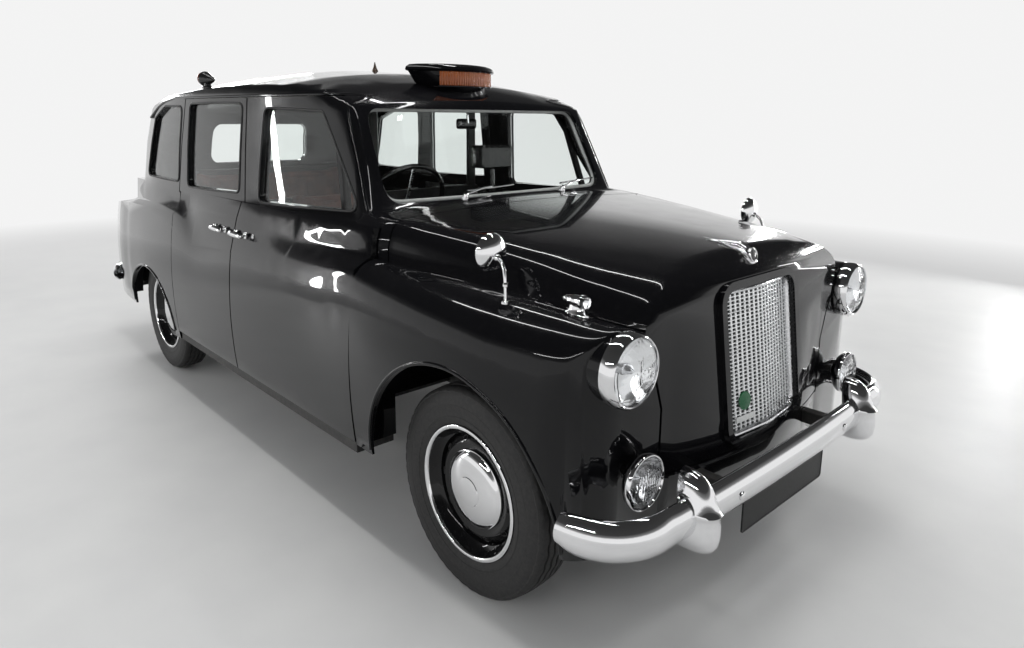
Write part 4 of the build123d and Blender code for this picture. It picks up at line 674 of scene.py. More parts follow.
def make_tyre(corner, x, side):
    outline = tyre_outline()
    verts = []
    for k in range(TYRE_STEPS):
        turn = 2 * pi * k / TYRE_STEPS
        shift = ZIGZAG * (1 if k % 4 < 2 else -1)
        for across, radius, sway in outline:
            notched = 0.062 < abs(across) and radius > 0.3135 and k % 3 == 0
            reach = radius - (SHOULDER_NOTCH if notched else 0)
            y = side * HUB_Y + across + (shift if sway else 0)
            verts.append(Vector((x + reach * sin(turn), y, TYRE_R - reach * cos(turn))))
    faces = grid_faces(TYRE_STEPS, len(outline), True, True)
    made = mesh_piece("tread_and_walls_" + corner, verts, faces, TYRE, 30, body="wheel_" + corner)
    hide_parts("tyre_" + corner)


def make_wheel(corner, x, side):
    """Pressed disc with its holes, rim, bright trim ring, nave plate and valve."""
    origin = (x, side * HUB_Y, TYRE_R)
    axis = (0, side, 0)
    body = "wheel_" + corner
    rim = [(-66, 214.5), (-66.5, 216.5), (-63, 218.5), (-60, 213.5), (-50, 208.5), (-30, 199),
           (-18, 186), (18, 186), (30, 199), (50, 207.5), (60, 212.5), (63, 218.5), (66.8, 216.8),
           (66.5, 213), (56, 203), (35, 195), (24, 181), (6, 178), (-24, 180), (-35, 194),
           (-56, 204)]
    rim_piece = turned_piece("rim_" + corner, rim, origin, axis, WHEEL_PAINT, 96, True, body=body)
    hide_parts("wheel_" + corner)
    disc = [(4, 180), (10, 178.5), (20, 168), (28.5, 158), (31.5, 150), (30, 142), (26.5, 134),
            (27, 120), (27, 34), (60, 34), (60, 20.2), (-14, 20.2), (-14, 70), (21, 72), (21, 134),
            (24, 143), (25.5, 150), (22.5, 157), (14, 165), (4, 174)]
    verts, faces = revolved(disc, origin, axis, 96, True)
    mesh_piece("disc_" + corner, verts, faces, WHEEL_PAINT, 30, body=body)
    slots = []
    for k in range(VENT_HOLES):
        turn = 2 * pi * (k + 0.5) / VENT_HOLES
        middle = Vector(origin) + Vector((0.162 * sin(turn), side * 0.0255, -0.162 * cos(turn)))
        out = Vector((sin(turn), 0, -cos(turn)))
        lean = (Vector((0, side, 0)) + out * 0.62).normalized()
        slots.append(revolved([(-6, 0.4), (-6, 10.5), (0.5, 11.8), (1.2, 10.8), (0.4, 9.5),
                               (-4.5, 8.8), (-4.5, 0.4)], middle, lean, 20))
    merge("vent_hole_rims_" + corner, slots, RUBBER, body=body, slot="wheel_black")
    ring = [(60, 201), (65.5, 202.5), (69, 206.5), (69.5, 211), (68.2, 215.5), (66.5, 217.2),
            (66, 215), (66.8, 210.5), (64, 205), (60, 202.5)]
    turned_piece("trim_ring_" + corner, ring, origin, axis, CHROME, 96, True, body=body)
    cap = [(26.5, 124), (29, 127.5), (32.5, 126.8), (34.5, 122.5), (40, 118.5), (47.5, 102),
           (52.5, 83), (55.5, 61), (57.2, 52), (56.8, 48), (59, 46.5), (61.2, 38), (62.6, 24),
           (63.2, 10), (63.4, 0.4)]
    turned_piece("nave_plate_" + corner, cap, origin, axis, CHROME, 96, body=body)
    stem = [(0, 4.2), (16, 4.2), (18, 3.6), (18, 4.5), (27, 4.5), (29, 3), (29, 0.4)]
    turned_piece("valve_" + corner, stem, (x + 0.172, side * (HUB_Y + 0.018), TYRE_R),
                 (-0.25, side, 0), RUBBER, 20, body=body)


for end, x in (("front", FRONT_AXLE_X), ("rear", REAR_AXLE_X)):
    for side, hand in SIDES:
        make_tyre(end + "_" + hand, x, side)
        make_wheel(end + "_" + hand, x, side)


# Lamps -------------------------------------------------------------------------
LENS_THICKNESS = 0.004
AHEAD = (1, 0, 0)
ABOVE = (0, 0, 1)


def fluted_lens(name, center, radius, rise, flutes):
    """Domed lens with upright flutes pressed in its outer face."""
    rings, turns = 18, 72
    verts = []
    sphere = (radius ** 2 + rise ** 2) / (2 * rise)
    for layer in (0, 1):
        for i in range(rings + 1):
            r = max(radius * i / rings, 0.0002)
            for k in range(turns):
                y, z = r * cos(2 * pi * k / turns), r * sin(2 * pi * k / turns)
                deep = sphere - sqrt(sphere ** 2 - r ** 2)
                ripple = 0.0011 * sin(y / radius * flutes * pi) * min(1, 3 * (1 - r / radius))
                cell = 0.0006 * cos(z / radius * 7 * pi) * min(1, 3 * (1 - r / radius))
                x = rise - deep + (ripple + cell if layer else -LENS_THICKNESS)
                verts.append(Vector(center) + Vector((x, y, z)))
    count = rings + 1
    faces = grid_faces(count, turns, False, True)
    faces += grid_faces(count, turns, False, True, count * turns)
    rim, other = rings * turns, count * turns + rings * turns
    faces += [[rim + k, rim + (k + 1) % turns, other + (k + 1) % turns, other + k]
              for k in range(turns)]
    mesh_piece(name, verts, faces, LENS, 40)


for side, hand in SIDES:
    seat = (LAMP_X, side * LAMP_Y, LAMP_Z)
    cup = [(4, 0.4), (4.5, 20), (10, 46), (20, 68), (33, 86), (36, 90.5), (34, 92.5), (28, 90),
           (4, 75), (0.2, 40), (0.1, 0.4)]
    turned_piece("headlamp_bowl_" + hand, cup, seat, AHEAD, REFLECTOR, 72)
    bezel = [(0, 100), (2, 102.2), (11, 103), (24, 102.2), (34, 99), (41, 95), (44, 92.2),
             (42.8, 90.2), (38, 89.8), (34, 92.5), (18, 98.5), (0, 98.5)]
    made = turned_piece("headlamp_bezel_" + hand, bezel, seat, AHEAD, CHROME, 96, True)
    if side < 0:
        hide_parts("headlamps")
    fluted_lens("headlamp_lens_" + hand, (LAMP_X + 0.0375, side * LAMP_Y, LAMP_Z), 0.0905, 0.0185,
                22)
    bulb = [(4.5, 15), (8, 16), (10, 12.5), (20, 12.5), (27, 10), (30, 6), (31, 0.4)]
    turned_piece("headlamp_bulb_shield_" + hand, bulb, seat, AHEAD, BRIGHT, 32)
    screw = [(0, 3.5), (2.5, 3.5), (3.5, 2.2), (3.6, 0.4)]
    turned_piece("headlamp_screw_" + hand, screw, (LAMP_X + 0.024, side * LAMP_Y, LAMP_Z - 0.1015),
                 (0.3, 0, -1), CHROME, 16)

    fog = (FOG_X, side * FOG_Y, FOG_Z)
    shell = [(0, 0.4), (0, 30), (4, 44), (14, 62), (25, 72.5), (33, 77), (40, 78.2), (47, 78),
             (50, 76), (50.5, 73.5), (48, 72.2), (40, 70), (20, 52), (10, 30), (8, 0.4)]
    made = turned_piece("fog_lamp_shell_" + hand, shell, fog, AHEAD, CHROME, 72)
    if side < 0:
        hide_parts("fog_lamps")
    fluted_lens("fog_lamp_lens_" + hand, (FOG_X + 0.0455, side * FOG_Y, FOG_Z), 0.0728, 0.0095, 13)
    fog_bulb = [(8.5, 12), (14, 12), (24, 8.5), (29, 0.4)]
    turned_piece("fog_lamp_bulb_" + hand, fog_bulb, fog, AHEAD, BRIGHT, 24)
    stem = [(x, side * FOG_Y, FOG_Z) for x in (2.0525, 2.0600, 2.0690)]
    curve_piece("fog_lamp_stem_" + hand, [stem], 0.0115, CHASSIS, smooth=False)


# Reference for the shading: one body without shut lines, its creases rounded as pressed
# steel is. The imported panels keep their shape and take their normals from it.
FRONT_STATIONS = (
    (0.860, 0.756, 1.006, 0.796, 0.994, 0.846, 0.938, 0.868, 0.620, 0.848, 1.176, 1.0),
    (1.000, 0.740, 1.003, 0.790, 0.992, 0.846, 0.935, 0.868, 0.620, 0.848, 1.168, 1.0),
    (1.100, 0.727, 0.997, 0.786, 0.988, 0.848, 0.930, 0.869, 0.620, 0.849, 1.160, 1.0),
    (1.200, 0.718, 0.993, 0.781, 0.985, 0.849, 0.922, 0.870, 0.613, 0.849, 1.153, 0.95),
    (1.400, 0.684, 0.984, 0.770, 0.978, 0.850, 0.905, 0.870, 0.600, 0.850, 1.139, 0.85),
    (1.700, 0.640, 0.971, 0.740, 0.968, 0.838, 0.890, 0.860, 0.580, 0.842, 1.115, 0.6),
    (1.900, 0.620, 0.955, 0.705, 0.965, 0.812, 0.880, 0.835, 0.560, 0.818, 1.096, 0.4),
    (2.050, 0.578, 0.928, 0.676, 0.960, 0.785, 0.870, 0.800, 0.540, 0.785, 1.080, 0.2),
    (2.140, 0.566, 0.905, 0.672, 0.955, 0.775, 0.865, 0.785, 0.520, 0.775, 1.060, 0.1),
)
SQUARE_SECTION = ((0.995, 0.36), (0.977, 0.63), (0.953, 0.77), (0.88, 0.872), (0.5, 0.96))
ROUND_SECTION = ((0.985, 0.2), (0.95, 0.38), (0.86, 0.6), (0.68, 0.82), (0.38, 0.945))
SIDE_STATIONS = (
    (-1.640, 0.836, 0.854, 0.580, 0.822, 0.962, 0.772, 0.990, 0.762),
    (-1.264, 0.848, 0.868, 0.600, 0.836, 0.974, 0.802, 1.000, 0.780),
    (-0.660, 0.850, 0.870, 0.600, 0.838, 0.978, 0.806, 1.004, 0.786),
    (-0.520, 0.850, 0.870, 0.580, 0.852, 0.850, 0.812, 1.030, 0.786),
    (0.000, 0.848, 0.870, 0.580, 0.850, 0.892, 0.812, 1.040, 0.786),
    (0.500, 0.848, 0.869, 0.600, 0.848, 0.930, 0.796, 1.000, 0.768),
    (1.040, 0.846, 0.868, 0.620, 0.832, 0.975, 0.764, 1.010, 0.752),
)
TAIL_STATIONS = (
    (-2.215, 0.760, 0.772, 0.550, 0.735, 0.890, 0.570, 0.905),
    (-2.080, 0.795, 0.808, 0.560, 0.770, 0.925, 0.580, 0.940),
    (-1.900, 0.818, 0.834, 0.570, 0.800, 0.945, 0.590, 0.965),
    (-1.600, 0.834, 0.852, 0.580, 0.820, 0.960, 0.600, 0.985),
)
CELL_LEVELS = (
    (0.900, 1.034, 1.012, 0.728, 0.800, -1.620, 0.790, -1.716),
    (1.000, 0.988, 0.966, 0.712, 0.792, -1.600, 0.780, -1.690),
    (1.100, 0.935, 0.914, 0.690, 0.782, -1.580, 0.768, -1.662),
    (1.330, 0.820, 0.800, 0.664, 0.768, -1.545, 0.745, -1.612),
    (1.560, 0.704, 0.686, 0.640, 0.748, -1.462, 0.715, -1.522),
    (1.780, 0.592, 0.576, 0.622, 0.728, -1.340, 0.672, -1.400),
)
ROOF_STATIONS = ((1.1, 1.5, 1.46), (0.78, 1.53, 1.478), (0.69, 1.56, 1.52), (0.52, 1.63, 1.575),
                 (0.25, 1.685, 1.592), (-0.14, 1.716, 1.598), (-0.6, 1.714, 1.596),
                 (-1.0, 1.69, 1.576), (-1.28, 1.63, 1.53), (-1.45, 1.555, 1.47), (-1.7, 1.4, 1.34))
ROOF_HALF = 0.820
REFERENCE_VOXEL = 0.014
REFERENCE_PASSES = 16
NORMAL_PASSES = 4
WING_SILL = 0.335
DOOR_SILL = 0.300
TAIL_SILL = 0.330
BELT_Z = 1.108
BOOT_HALF = 0.578
BOOT_PROFILE = ((-1.5, 0.34), (-1.5, 1.13), (-1.56, 1.112), (-1.72, 1.08), (-1.88, 1.022),
                (-2.0, 0.945), (-2.1, 0.85), (-2.15, 0.76), (-2.176, 0.6), (-2.182, 0.34))
REFERENCE_REACH = 0.045
NORMAL_MATCH = 0.60


def eased(stations, count):
    """Stations filled in along the first column by a smooth cubic through them."""
    table = np.array(sorted(stations))
    knots = table[:, 0]
    slopes = np.gradient(table, knots, axis=0)
    filled = []
    for x in np.linspace(knots[0], knots[-1], count):
        k = min(max(int(np.searchsorted(knots, x)) - 1, 0), len(knots) - 2)
        span = knots[k + 1] - knots[k]
        t = (x - knots[k]) / span
        filled.append(table[k] * (2 * t ** 3 - 3 * t ** 2 + 1)
                      + slopes[k] * span * (t ** 3 - 2 * t ** 2 + t)
                      + table[k + 1] * (3 * t ** 2 - 2 * t ** 3)
                      + slopes[k + 1] * span * (t ** 3 - t ** 2))
    return filled


def arc_through(a, b, c, count):
    """Points from a by way of b to c on their circle, without the last."""
    (ax, ay), (bx, by), (cx, cy) = a, b, c
    d = 2 * (ax * (by - cy) + bx * (cy - ay) + cx * (ay - by))
    if abs(d) < 1e-7:
        return [(ax + (cx - ax) * k / count, ay + (cy - ay) * k / count) for k in range(count)]
    aa, bb, cc = ax * ax + ay * ay, bx * bx + by * by, cx * cx + cy * cy
    ux = (aa * (by - cy) + bb * (cy - ay) + cc * (ay - by)) / d
    uy = (aa * (cx - bx) + bb * (ax - cx) + cc * (bx - ax)) / d
    radius = sqrt((ax - ux) ** 2 + (ay - uy) ** 2)
    start, middle, end = (atan2(q - uy, p - ux) for p, q in (a, b, c))
    turn = (end - start) % (2 * pi)
    if (middle - start) % (2 * pi) > turn:
        turn -= 2 * pi
    return [(ux + radius * cos(start + turn * k / count),
             uy + radius * sin(start + turn * k / count)) for k in range(count)]


def both_sides(x, half):
    """A closed ring at x from its left half, which starts and ends in the middle plane."""
    return [(x, y, z) for y, z in half] + [(x, -y, z) for y, z in half[-2:0:-1]]


def front_ring(row):
    x, seam_y, seam_z, top_y, top_z, shoulder_y, shoulder_z = row[:7]
    side_y, side_z, low_y, crown_z, full = row[7:]
    rise = crown_z - seam_z
    over = [(seam_y * (full * s[0] + (1 - full) * r[0]),
             seam_z + rise * (full * s[1] + (1 - full) * r[1]))
            for s, r in zip(SQUARE_SECTION, ROUND_SECTION)]
    seam, crown, shoulder = (seam_y, seam_z), (0.0, crown_z), (shoulder_y, shoulder_z)
    half = [(0.0, WING_SILL), (low_y * 0.5, WING_SILL)]
    half += arc_through((low_y, WING_SILL), (side_y, side_z), shoulder, 14)
    half += arc_through(shoulder, (top_y, top_z), seam, 8) + arc_through(seam, over[0], over[1], 5)
    half += arc_through(over[1], over[2], over[3], 8)
    half += arc_through(over[3], over[4], crown, 12) + [crown]
    return both_sides(x, half)


def side_ring(row):
    x, sill_y, side_y, side_z, crest_y, crest_z, shelf_y, shelf_z, belt_y = row
    half = [(0.0, DOOR_SILL)] + arc_through((sill_y, DOOR_SILL), (side_y, side_z),
                                            (crest_y, crest_z), 14)
    half += [(crest_y, crest_z), (shelf_y, shelf_z), (belt_y, BELT_Z), (0.0, BELT_Z)]
    return both_sides(x, half)


def tail_ring(row):
    x, sill_y, side_y, side_z, crest_y, crest_z, inner_y, inner_z = row
    half = [(0.0, TAIL_SILL)] + arc_through((sill_y, TAIL_SILL), (side_y, side_z),
                                            (crest_y, crest_z), 14)
    half += [(crest_y, crest_z), (inner_y, inner_z), (0.0, inner_z)]
    return both_sides(x, half)


def cell_ring(row):
    z, front_x, pillar_x, pillar_y, door_y, quarter_x, quarter_y, back_x = row
    front = arc_through((pillar_x, -pillar_y), (front_x, 0), (pillar_x, pillar_y), 24)
    left = arc_through((pillar_x, pillar_y), (-0.300, door_y), (quarter_x, quarter_y), 40)
    back = arc_through((quarter_x, quarter_y), (back_x, 0), (quarter_x, -quarter_y), 24)
    right = [(x, -y) for x, y in left[::-1]]
    ring = np.array(front + left + back + [(quarter_x, -quarter_y)] + right[:-1])
    for _ in range(14):
        rear = np.clip((-1.2 - ring[:, 0:1]) / 0.15, 0, 1)
        ring += 0.5 * rear * ((np.roll(ring, 1, 0) + np.roll(ring, -1, 0)) / 2 - ring)
    return [(x, y, z) for x, y in ring]


def nose_limit(y, z):
    """How far forward the nose reaches at a height and width."""
    y = np.abs(y)
    bow = 2.118 - 0.062 * (y / 0.487) ** 2
    flat = 2.056 - 0.006 * (y - 0.487) / 0.173
    corner = 2.050 - 0.125 * np.clip((y - 0.660) / 0.172, 0, 1.6) ** 2
    plan = np.where(y < 0.487, bow, np.where(y < 0.660, flat, corner))
    lean = 2.118 - 0.1287 * np.clip(z - 0.480, 0, 0.510)
    roll = lean - 0.078 * np.clip((z - 0.990) / 0.102, 0, 1.5) ** 2
    return np.minimum(plan, roll)


def tail_limit(y):
    """How far back the tail reaches at a width."""
    y = np.abs(y)
    return np.where(y < 0.62, -2.168 + 0.014 * np.clip((y - 0.40) / 0.22, 0, 1),
                    -2.154 + 0.254 * np.clip((y - 0.620) / 0.218, 0, 1.4) ** 2)


def roof_limit(x, y):
    """How high the roof is at a place in plan."""
    table = np.array(ROOF_STATIONS[::-1])
    crown, gutter = (np.interp(x, table[:, 0], table[:, k]) for k in (1, 2))
    return crown - (crown - gutter + 0.014) * (y / ROOF_HALF) ** 2


def neighbour_sum(values, edges):
    """For each vertex, the sum of a vector over the vertices it shares an edge with."""
    total = np.empty((len(values), 3))
    for axis in range(3):
        total[:, axis] = (np.bincount(edges[:, 0], values[edges[:, 1], axis], len(values))
                          + np.bincount(edges[:, 1], values[edges[:, 0], axis], len(values)))
    return total


def reference_body():
    """The unlinked reference mesh with its eased normals as the attribute 'flow'."""
    lofts = [[ring(row) for row in eased(stations, count)] for ring, stations, count in (
        (front_ring, FRONT_STATIONS, 40), (side_ring, SIDE_STATIONS, 60),
        (tail_ring, TAIL_STATIONS, 14), (cell_ring, CELL_LEVELS, 24))]
    lofts.append([[(x, y, z) for x, z in BOOT_PROFILE] for y in (-BOOT_HALF, BOOT_HALF)])
    parts = [capped([p for ring in rings for p in ring], len(rings[0])) for rings in lofts]
    obj = new_object("body_reference", new_mesh("body_reference", *joined(parts)))
    remesh(obj, REFERENCE_VOXEL)
    bpy.context.scene.collection.objects.unlink(obj)
    mesh = obj.data
    place = coordinates(mesh)
    front = place[:, 0] > 1.75
    place[front, 0] = np.minimum(place[front, 0], nose_limit(place[front, 1], place[front, 2]))
    high = place[:, 2] > 1.25
    place[high, 2] = np.minimum(place[high, 2], roof_limit(place[high, 0], place[high, 1]))
    rear = place[:, 0] < -1.85
    place[rear, 0] = np.maximum(place[rear, 0], tail_limit(place[rear, 1]))
    edges = np.empty(len(mesh.edges) * 2, dtype=np.int64)
    mesh.edges.foreach_get("vertices", edges)
    edges = edges.reshape(-1, 2)
    links = np.bincount(edges.ravel(), minlength=len(place)).reshape(-1, 1)
    for _ in range(REFERENCE_PASSES):
        place += 0.6 * (neighbour_sum(place, edges) / links - place)
    mesh.vertices.foreach_set("co", place.ravel())
    mesh.update()
    normals = vertex_normals(mesh)
    for _ in range(NORMAL_PASSES):
        normals = normals + neighbour_sum(normals, edges) / links
        normals /= np.linalg.norm(normals, axis=1, keepdims=True)
    flow = mesh.attributes.new("flow", "FLOAT_VECTOR", "POINT")
    flow.data.foreach_set("vector", normals.astype(np.float32).ravel())
    return obj


def flow_group(reference):
    """Geometry nodes: corners near the reference take its normals where they agree."""
    tree, start, end = new_group("flowing_normals")
    vectors = {"data_type": "FLOAT_VECTOR"}
    body = add_node(tree, "GeometryNodeObjectInfo", {"Object": reference}).outputs["Geometry"]
    where = add_node(tree, "GeometryNodeInputPosition").outputs[0]
    flow = add_node(tree, "GeometryNodeInputNamedAttribute", {"Name": "flow"}, **vectors)
    sample = add_node(tree, "GeometryNodeSampleNearestSurface", {
        "Mesh": body, "Value": flow.outputs["Attribute"], "Sample Position": where}, **vectors)
    near = add_node(tree, "GeometryNodeProximity", {0: body, "Sample Position": where},
                    target_element="FACES")
    close = add_node(tree, "FunctionNodeCompare", {0: near.outputs["Distance"], 1: REFERENCE_REACH},
                     operation="LESS_THAN")
    own = add_node(tree, "GeometryNodeInputNormal")
    face = add_node(tree, "GeometryNodeFieldOnDomain", domain="FACE", **vectors)
    tree.links.new(own.outputs["True Normal"], face.inputs[0])
    dot = add_node(tree, "ShaderNodeVectorMath", {0: face.outputs[0], 1: sample.outputs["Value"]},
                   operation="DOT_PRODUCT")
    agree = add_node(tree, "FunctionNodeCompare", {0: dot.outputs["Value"], 1: NORMAL_MATCH},
                     operation="GREATER_THAN")
    both = add_node(tree, "FunctionNodeBooleanMath", {0: close.outputs["Result"],
                                                      1: agree.outputs["Result"]}, operation="AND")
    pick = add_node(tree, "GeometryNodeSwitch", input_type="VECTOR")
    choices = {"Switch": both.outputs[0], "False": own.outputs["Normal"],
               "True": sample.outputs["Value"]}
    for key, source in choices.items():
        tree.links.new(source, pick.inputs[key])
    put = add_node(tree, "GeometryNodeSetMeshNormal", mode="FREE", domain="CORNER")
    tree.links.new(start.outputs[0], put.inputs["Mesh"])
    tree.links.new(pick.outputs[0], put.inputs["Custom Normal"])
    tree.links.new(put.outputs[0], end.inputs[0])
    return tree


FLOWING = flow_group(reference_body())
FLOWING_PANELS = ("bonnet", "front_wing_right", "front_wing_left", "front_door_right",
                  "front_door_left", "rear_door_right", "rear_door_left", "scuttle", "roof",
                  "rear_quarter_right", "rear_quarter_left", "front_apron")
for panel in FLOWING_PANELS:
    NODES[panel].modifiers.new("flow", "NODES").node_group = FLOWING


# Grille --------------------------------------------------------------------------
NOSE_LEAN = 0.057 / 0.443
GRILLE_AT = Vector((2.118 - NOSE_LEAN * 0.280, 0, 0.760))
GRILLE_OUT = Vector((1, 0, NOSE_LEAN)).normalized()
GRILLE_UP = Vector((-NOSE_LEAN, 0, 1)).normalized()
GRILLE_W = 0.420
GRILLE_H = 0.456
GRILLE_CORNER = 0.046
MESH_COLUMNS = 17
MESH_ROWS = 36
PROW = 0.024
MESH_BENDS = (-1.0, -0.5, -0.16, -0.06, 0.0, 0.06, 0.16, 0.5, 1.0)
BADGE_Y = -0.108
LABEL_UP = -0.182


def grille_point(y, up, out):
    """A place on the grille, whose middle stands forward like a shallow prow."""
    out += 0.010 - PROW * (sqrt((2 * y / GRILLE_W) ** 2 + 0.012) - 0.11)
    return GRILLE_AT + Vector((0, y, 0)) + GRILLE_UP * up + GRILLE_OUT * out


def rounded_frame(profile, width, height, corner, place):
    """Verts and faces of a closed (inset, out) profile run round a rounded rectangle."""
    verts = []
    total = 0
    for inset, out in profile:
        half_w, half_h = width / 2 - inset, height / 2 - inset
        outline = rectangle((-half_w, -half_h), (half_w, half_h), max(corner - inset, 0.004), 8)
        outline = dense(outline, width / 24)
        while total and len(outline) > total:
            outline.pop()
        total = len(outline)
        verts += [place(p.x, p.y, out) for p in outline]
    return verts, grid_faces(len(profile), total, True, True)


surround = [(0.0004, -0.018), (0.0004, 0.004), (0.0025, 0.0085), (0.006, 0.01), (0.0105, 0.0085),
            (0.014, 0.003), (0.016, -0.004), (0.016, -0.018)]
verts, faces = rounded_frame(surround, GRILLE_W, GRILLE_H, GRILLE_CORNER, grille_point)
made = mesh_piece("grille_surround", verts, faces, BRIGHT, body="bonnet", slot="mesh")
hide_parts("grille")

bars = []
inner_w, inner_h = GRILLE_W - 0.026, GRILLE_H - 0.026
for k in range(MESH_COLUMNS + 1):
    y = inner_w * (k / MESH_COLUMNS - 0.5)
    end = inner_h / 2 - (0.026, 0.004, 0.0)[min(k, MESH_COLUMNS - k, 2)]
    section = [(-0.0034, -0.0085), (0.0034, -0.0085), (0.0038, -0.0055), (0.0022, -0.003),
               (-0.0022, -0.003), (-0.0038, -0.0055)]
    bars.append(capped([grille_point(y + a, z, b) for z in (-end, end) for a, b in section], 6))
for k in range(MESH_ROWS + 1):
    z = inner_h * (k / MESH_ROWS - 0.5)
    end = inner_w / 2 - (0.030, 0.015, 0.006, 0.001)[min(k, MESH_ROWS - k, 3)]
    section = [(-0.0022, -0.0095), (0.0022, -0.0095), (0.0026, -0.006), (0.0014, -0.0036),
               (-0.0014, -0.0036), (-0.0026, -0.006)]
    bars.append(capped([grille_point(end * y, z + a, b) for y in MESH_BENDS for a, b in section],
                       6))
merge("grille_mesh", bars, MESH, 30, body="bonnet")
# A dark sheet a little behind the mesh: painted shade standing in for the dark space behind the
# grille. It also hides the radiator.
shade_sheet_outline = dense(rectangle((-inner_w / 2, -inner_h / 2), (inner_w / 2, inner_h / 2),
                          GRILLE_CORNER - 0.01, 6), 0.02)
verts = [grille_point(p.x, p.y, out) for out in (-0.021, -0.017) for p in shade_sheet_outline]
mesh_piece("grille_backing", *capped(verts, len(shade_sheet_outline)), CHASSIS, body="bonnet")
badge_at = grille_point(BADGE_Y, -0.128, -0.0015)
turned_piece("green_disc", [(-2, 0.4), (-2, 28.5), (0.6, 29.5), (1.8, 28.5), (1.2, 26.2), (1.6, 25),
                            (1.6, 0.4)], badge_at, GRILLE_OUT + Vector((0, -0.11, 0)), GREEN, 48,
             body="bonnet")
label = slab((-0.046, -0.009), (0.046, 0.009), 0.0025, 3, ((-0.0025, 0), (0.0, 0)),
             lambda out, y, up: grille_point(BADGE_Y + y, LABEL_UP + up, out))
mesh_piece("plain_label", *label, LABEL, body="bonnet")

# Bonnet ornament: a ribbed teardrop along the crown with a blank medallion at its nose
stations = [(1.852, 0.0035, 0.002), (1.88, 0.0085, 0.006), (1.915, 0.0135, 0.011),
            (1.95, 0.018, 0.0165), (1.985, 0.0222, 0.0225), (2.01, 0.0238, 0.0255),
            (2.024, 0.0225, 0.0245), (2.031, 0.0185, 0.02)]
crown = {x: height_on(["bonnet"], x, 0, 1.4, 1.09) for x, _, _ in stations}
verts = []
steps = 26
for x, half, rise in stations:
    for k in range(steps):
        turn = 2 * pi * k / steps
        flute = 1 + 0.07 * cos(turn * 10) * (1 if sin(turn) > 0 else 0)
        z = crown[x] - 0.002 + max(sin(turn), -0.25) * rise * flute
        verts.append(Vector((x, half * cos(turn) * flute, z)))
made = mesh_piece("bonnet_wing", *capped(verts, steps), CHROME, 50, body="bonnet")
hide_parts("bonnet_ornament")
verts = []
foot = [(1.846, 0.0006), (1.858, 0.006), (1.9, 0.0165), (1.95, 0.0245), (2.0, 0.0305), (2.02, 0.03),
        (2.034, 0.02), (2.036, 0.004)]
for x, half in foot:
    for y, lift in ((-half, -0.003), (-half, 0.0022), (-half * 0.8, 0.0035), (half * 0.8, 0.0035),
                    (half, 0.0022), (half, -0.003)):
        verts.append(Vector((x, y, height_on(["bonnet"], x, y, 1.4, 1.085) + lift)))
mesh_piece("bonnet_wing_foot", *capped(verts, 6), CHROME, 40, body="bonnet")
nose = Vector((2.028, 0, crown[2.024] + 0.010))
face_out = (1, 0, 0.22)
turned_piece("medallion_rim", [(-6, 18), (-4, 22.5), (2, 23.2), (5.2, 22), (5.8, 19.6), (4, 18.2),
                               (3, 17.6), (-6, 17)], nose, face_out, CHROME, 48, True,
             body="bonnet")
turned_piece("medallion_face", [(1, 18), (3.6, 17.8), (4.4, 15), (4, 14.5), (4, 12), (4.8, 11.2),
                                (5.6, 6), (5.8, 0.4)], nose, face_out, HARD, 48, body="bonnet",
             slot="chrome")

# Side lamps ------------------------------------------------------------------------
for side, hand in SIDES:
    at = (1.884, side * 0.657, 1.004)
    body = [(-60, 0.4), (-56, 4.2), (-44, 9.2), (-26, 14), (-5, 17.8), (12, 19.5), (16, 20.8),
            (20, 21), (22.5, 20), (22.5, 16), (20, 0.4)]
    made = turned_piece("side_lamp_shell_" + hand, body, at, AHEAD, CHROME, 48)
    if side < 0:
        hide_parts("side_lamps")
    lens = [(20, 19.5), (24, 19.2), (31, 17.5), (38, 13.5), (43, 7), (44.2, 0.4)]
    turned_piece("side_lamp_lens_" + hand, lens, at, AHEAD, LENS, 48)
    base_z = height_on(["front_wing_" + hand], 1.880, side * 0.657, 1.3)
    verts = []
    levels = [(0.044, 0.015, -0.004), (0.043, 0.0145, 0.003), (0.03, 0.01, 0.008),
              (0.026, 0.008, 0.024)]
    for long_half, wide_half, lift in levels:
        for k in range(32):
            turn = 2 * pi * k / 32
            verts.append(Vector((1.88 + long_half * cos(turn), side * 0.657 + wide_half * sin(turn),
                                 base_z + lift)))
    mesh_piece("side_lamp_foot_" + hand, *capped(verts, 32), CHROME, 50)

    # Wing mirror: round bright shell on a bent stem
    head = Vector((1.6005, side * 0.726, 1.107))
    shell = [(0, 53), (0.5, 56.2), (4, 56.6), (12, 53), (20.5, 44), (27, 32), (31, 19), (32.8, 8),
             (33, 0.4)]
    made = turned_piece("mirror_shell_" + hand, shell, head, AHEAD, CHROME, 64)
    if side < 0:
        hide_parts("wing_mirrors")
    turned_piece("mirror_glass_" + hand, [(1.2, 53.5), (0.6, 52.5), (1.2, 30), (1.4, 0.4)], head,
                 AHEAD, MIRROR, 64)
    boss = [(0, 11), (6, 10.5), (10, 8), (11, 0.4)]
    turned_piece("mirror_boss_" + hand, boss, head + Vector((0.029, 0, -0.012)), (1, 0, -0.35),
                 CHROME, 24)
    low = surface_hit(["front_wing_" + hand], (1.678, side * 0.734, 1.3), (0, 0, -1))
    stem = [low + Vector((0, 0, -0.004)), low + Vector((-0.002, 0, 0.04)),
            Vector((1.673, side * 0.732, 1.043)), Vector((1.659, side * 0.728, 1.084)),
            head + Vector((0.036, 0, -0.0155))]
    curve_piece("mirror_stem_" + hand, [stem], 0.0052, CHROME)
    for z, wide in ((2, 12.5), (52, 8.8)):
        collar = [(-6, wide * 0.6), (-4, wide), (3, wide), (7, wide * 0.62), (7, 0.4)]
        turned_piece("mirror_collar_%s_%d" % (hand, z), collar, low + Vector((-0.001, 0, z * MM)),
                     ABOVE, CHROME, 24)

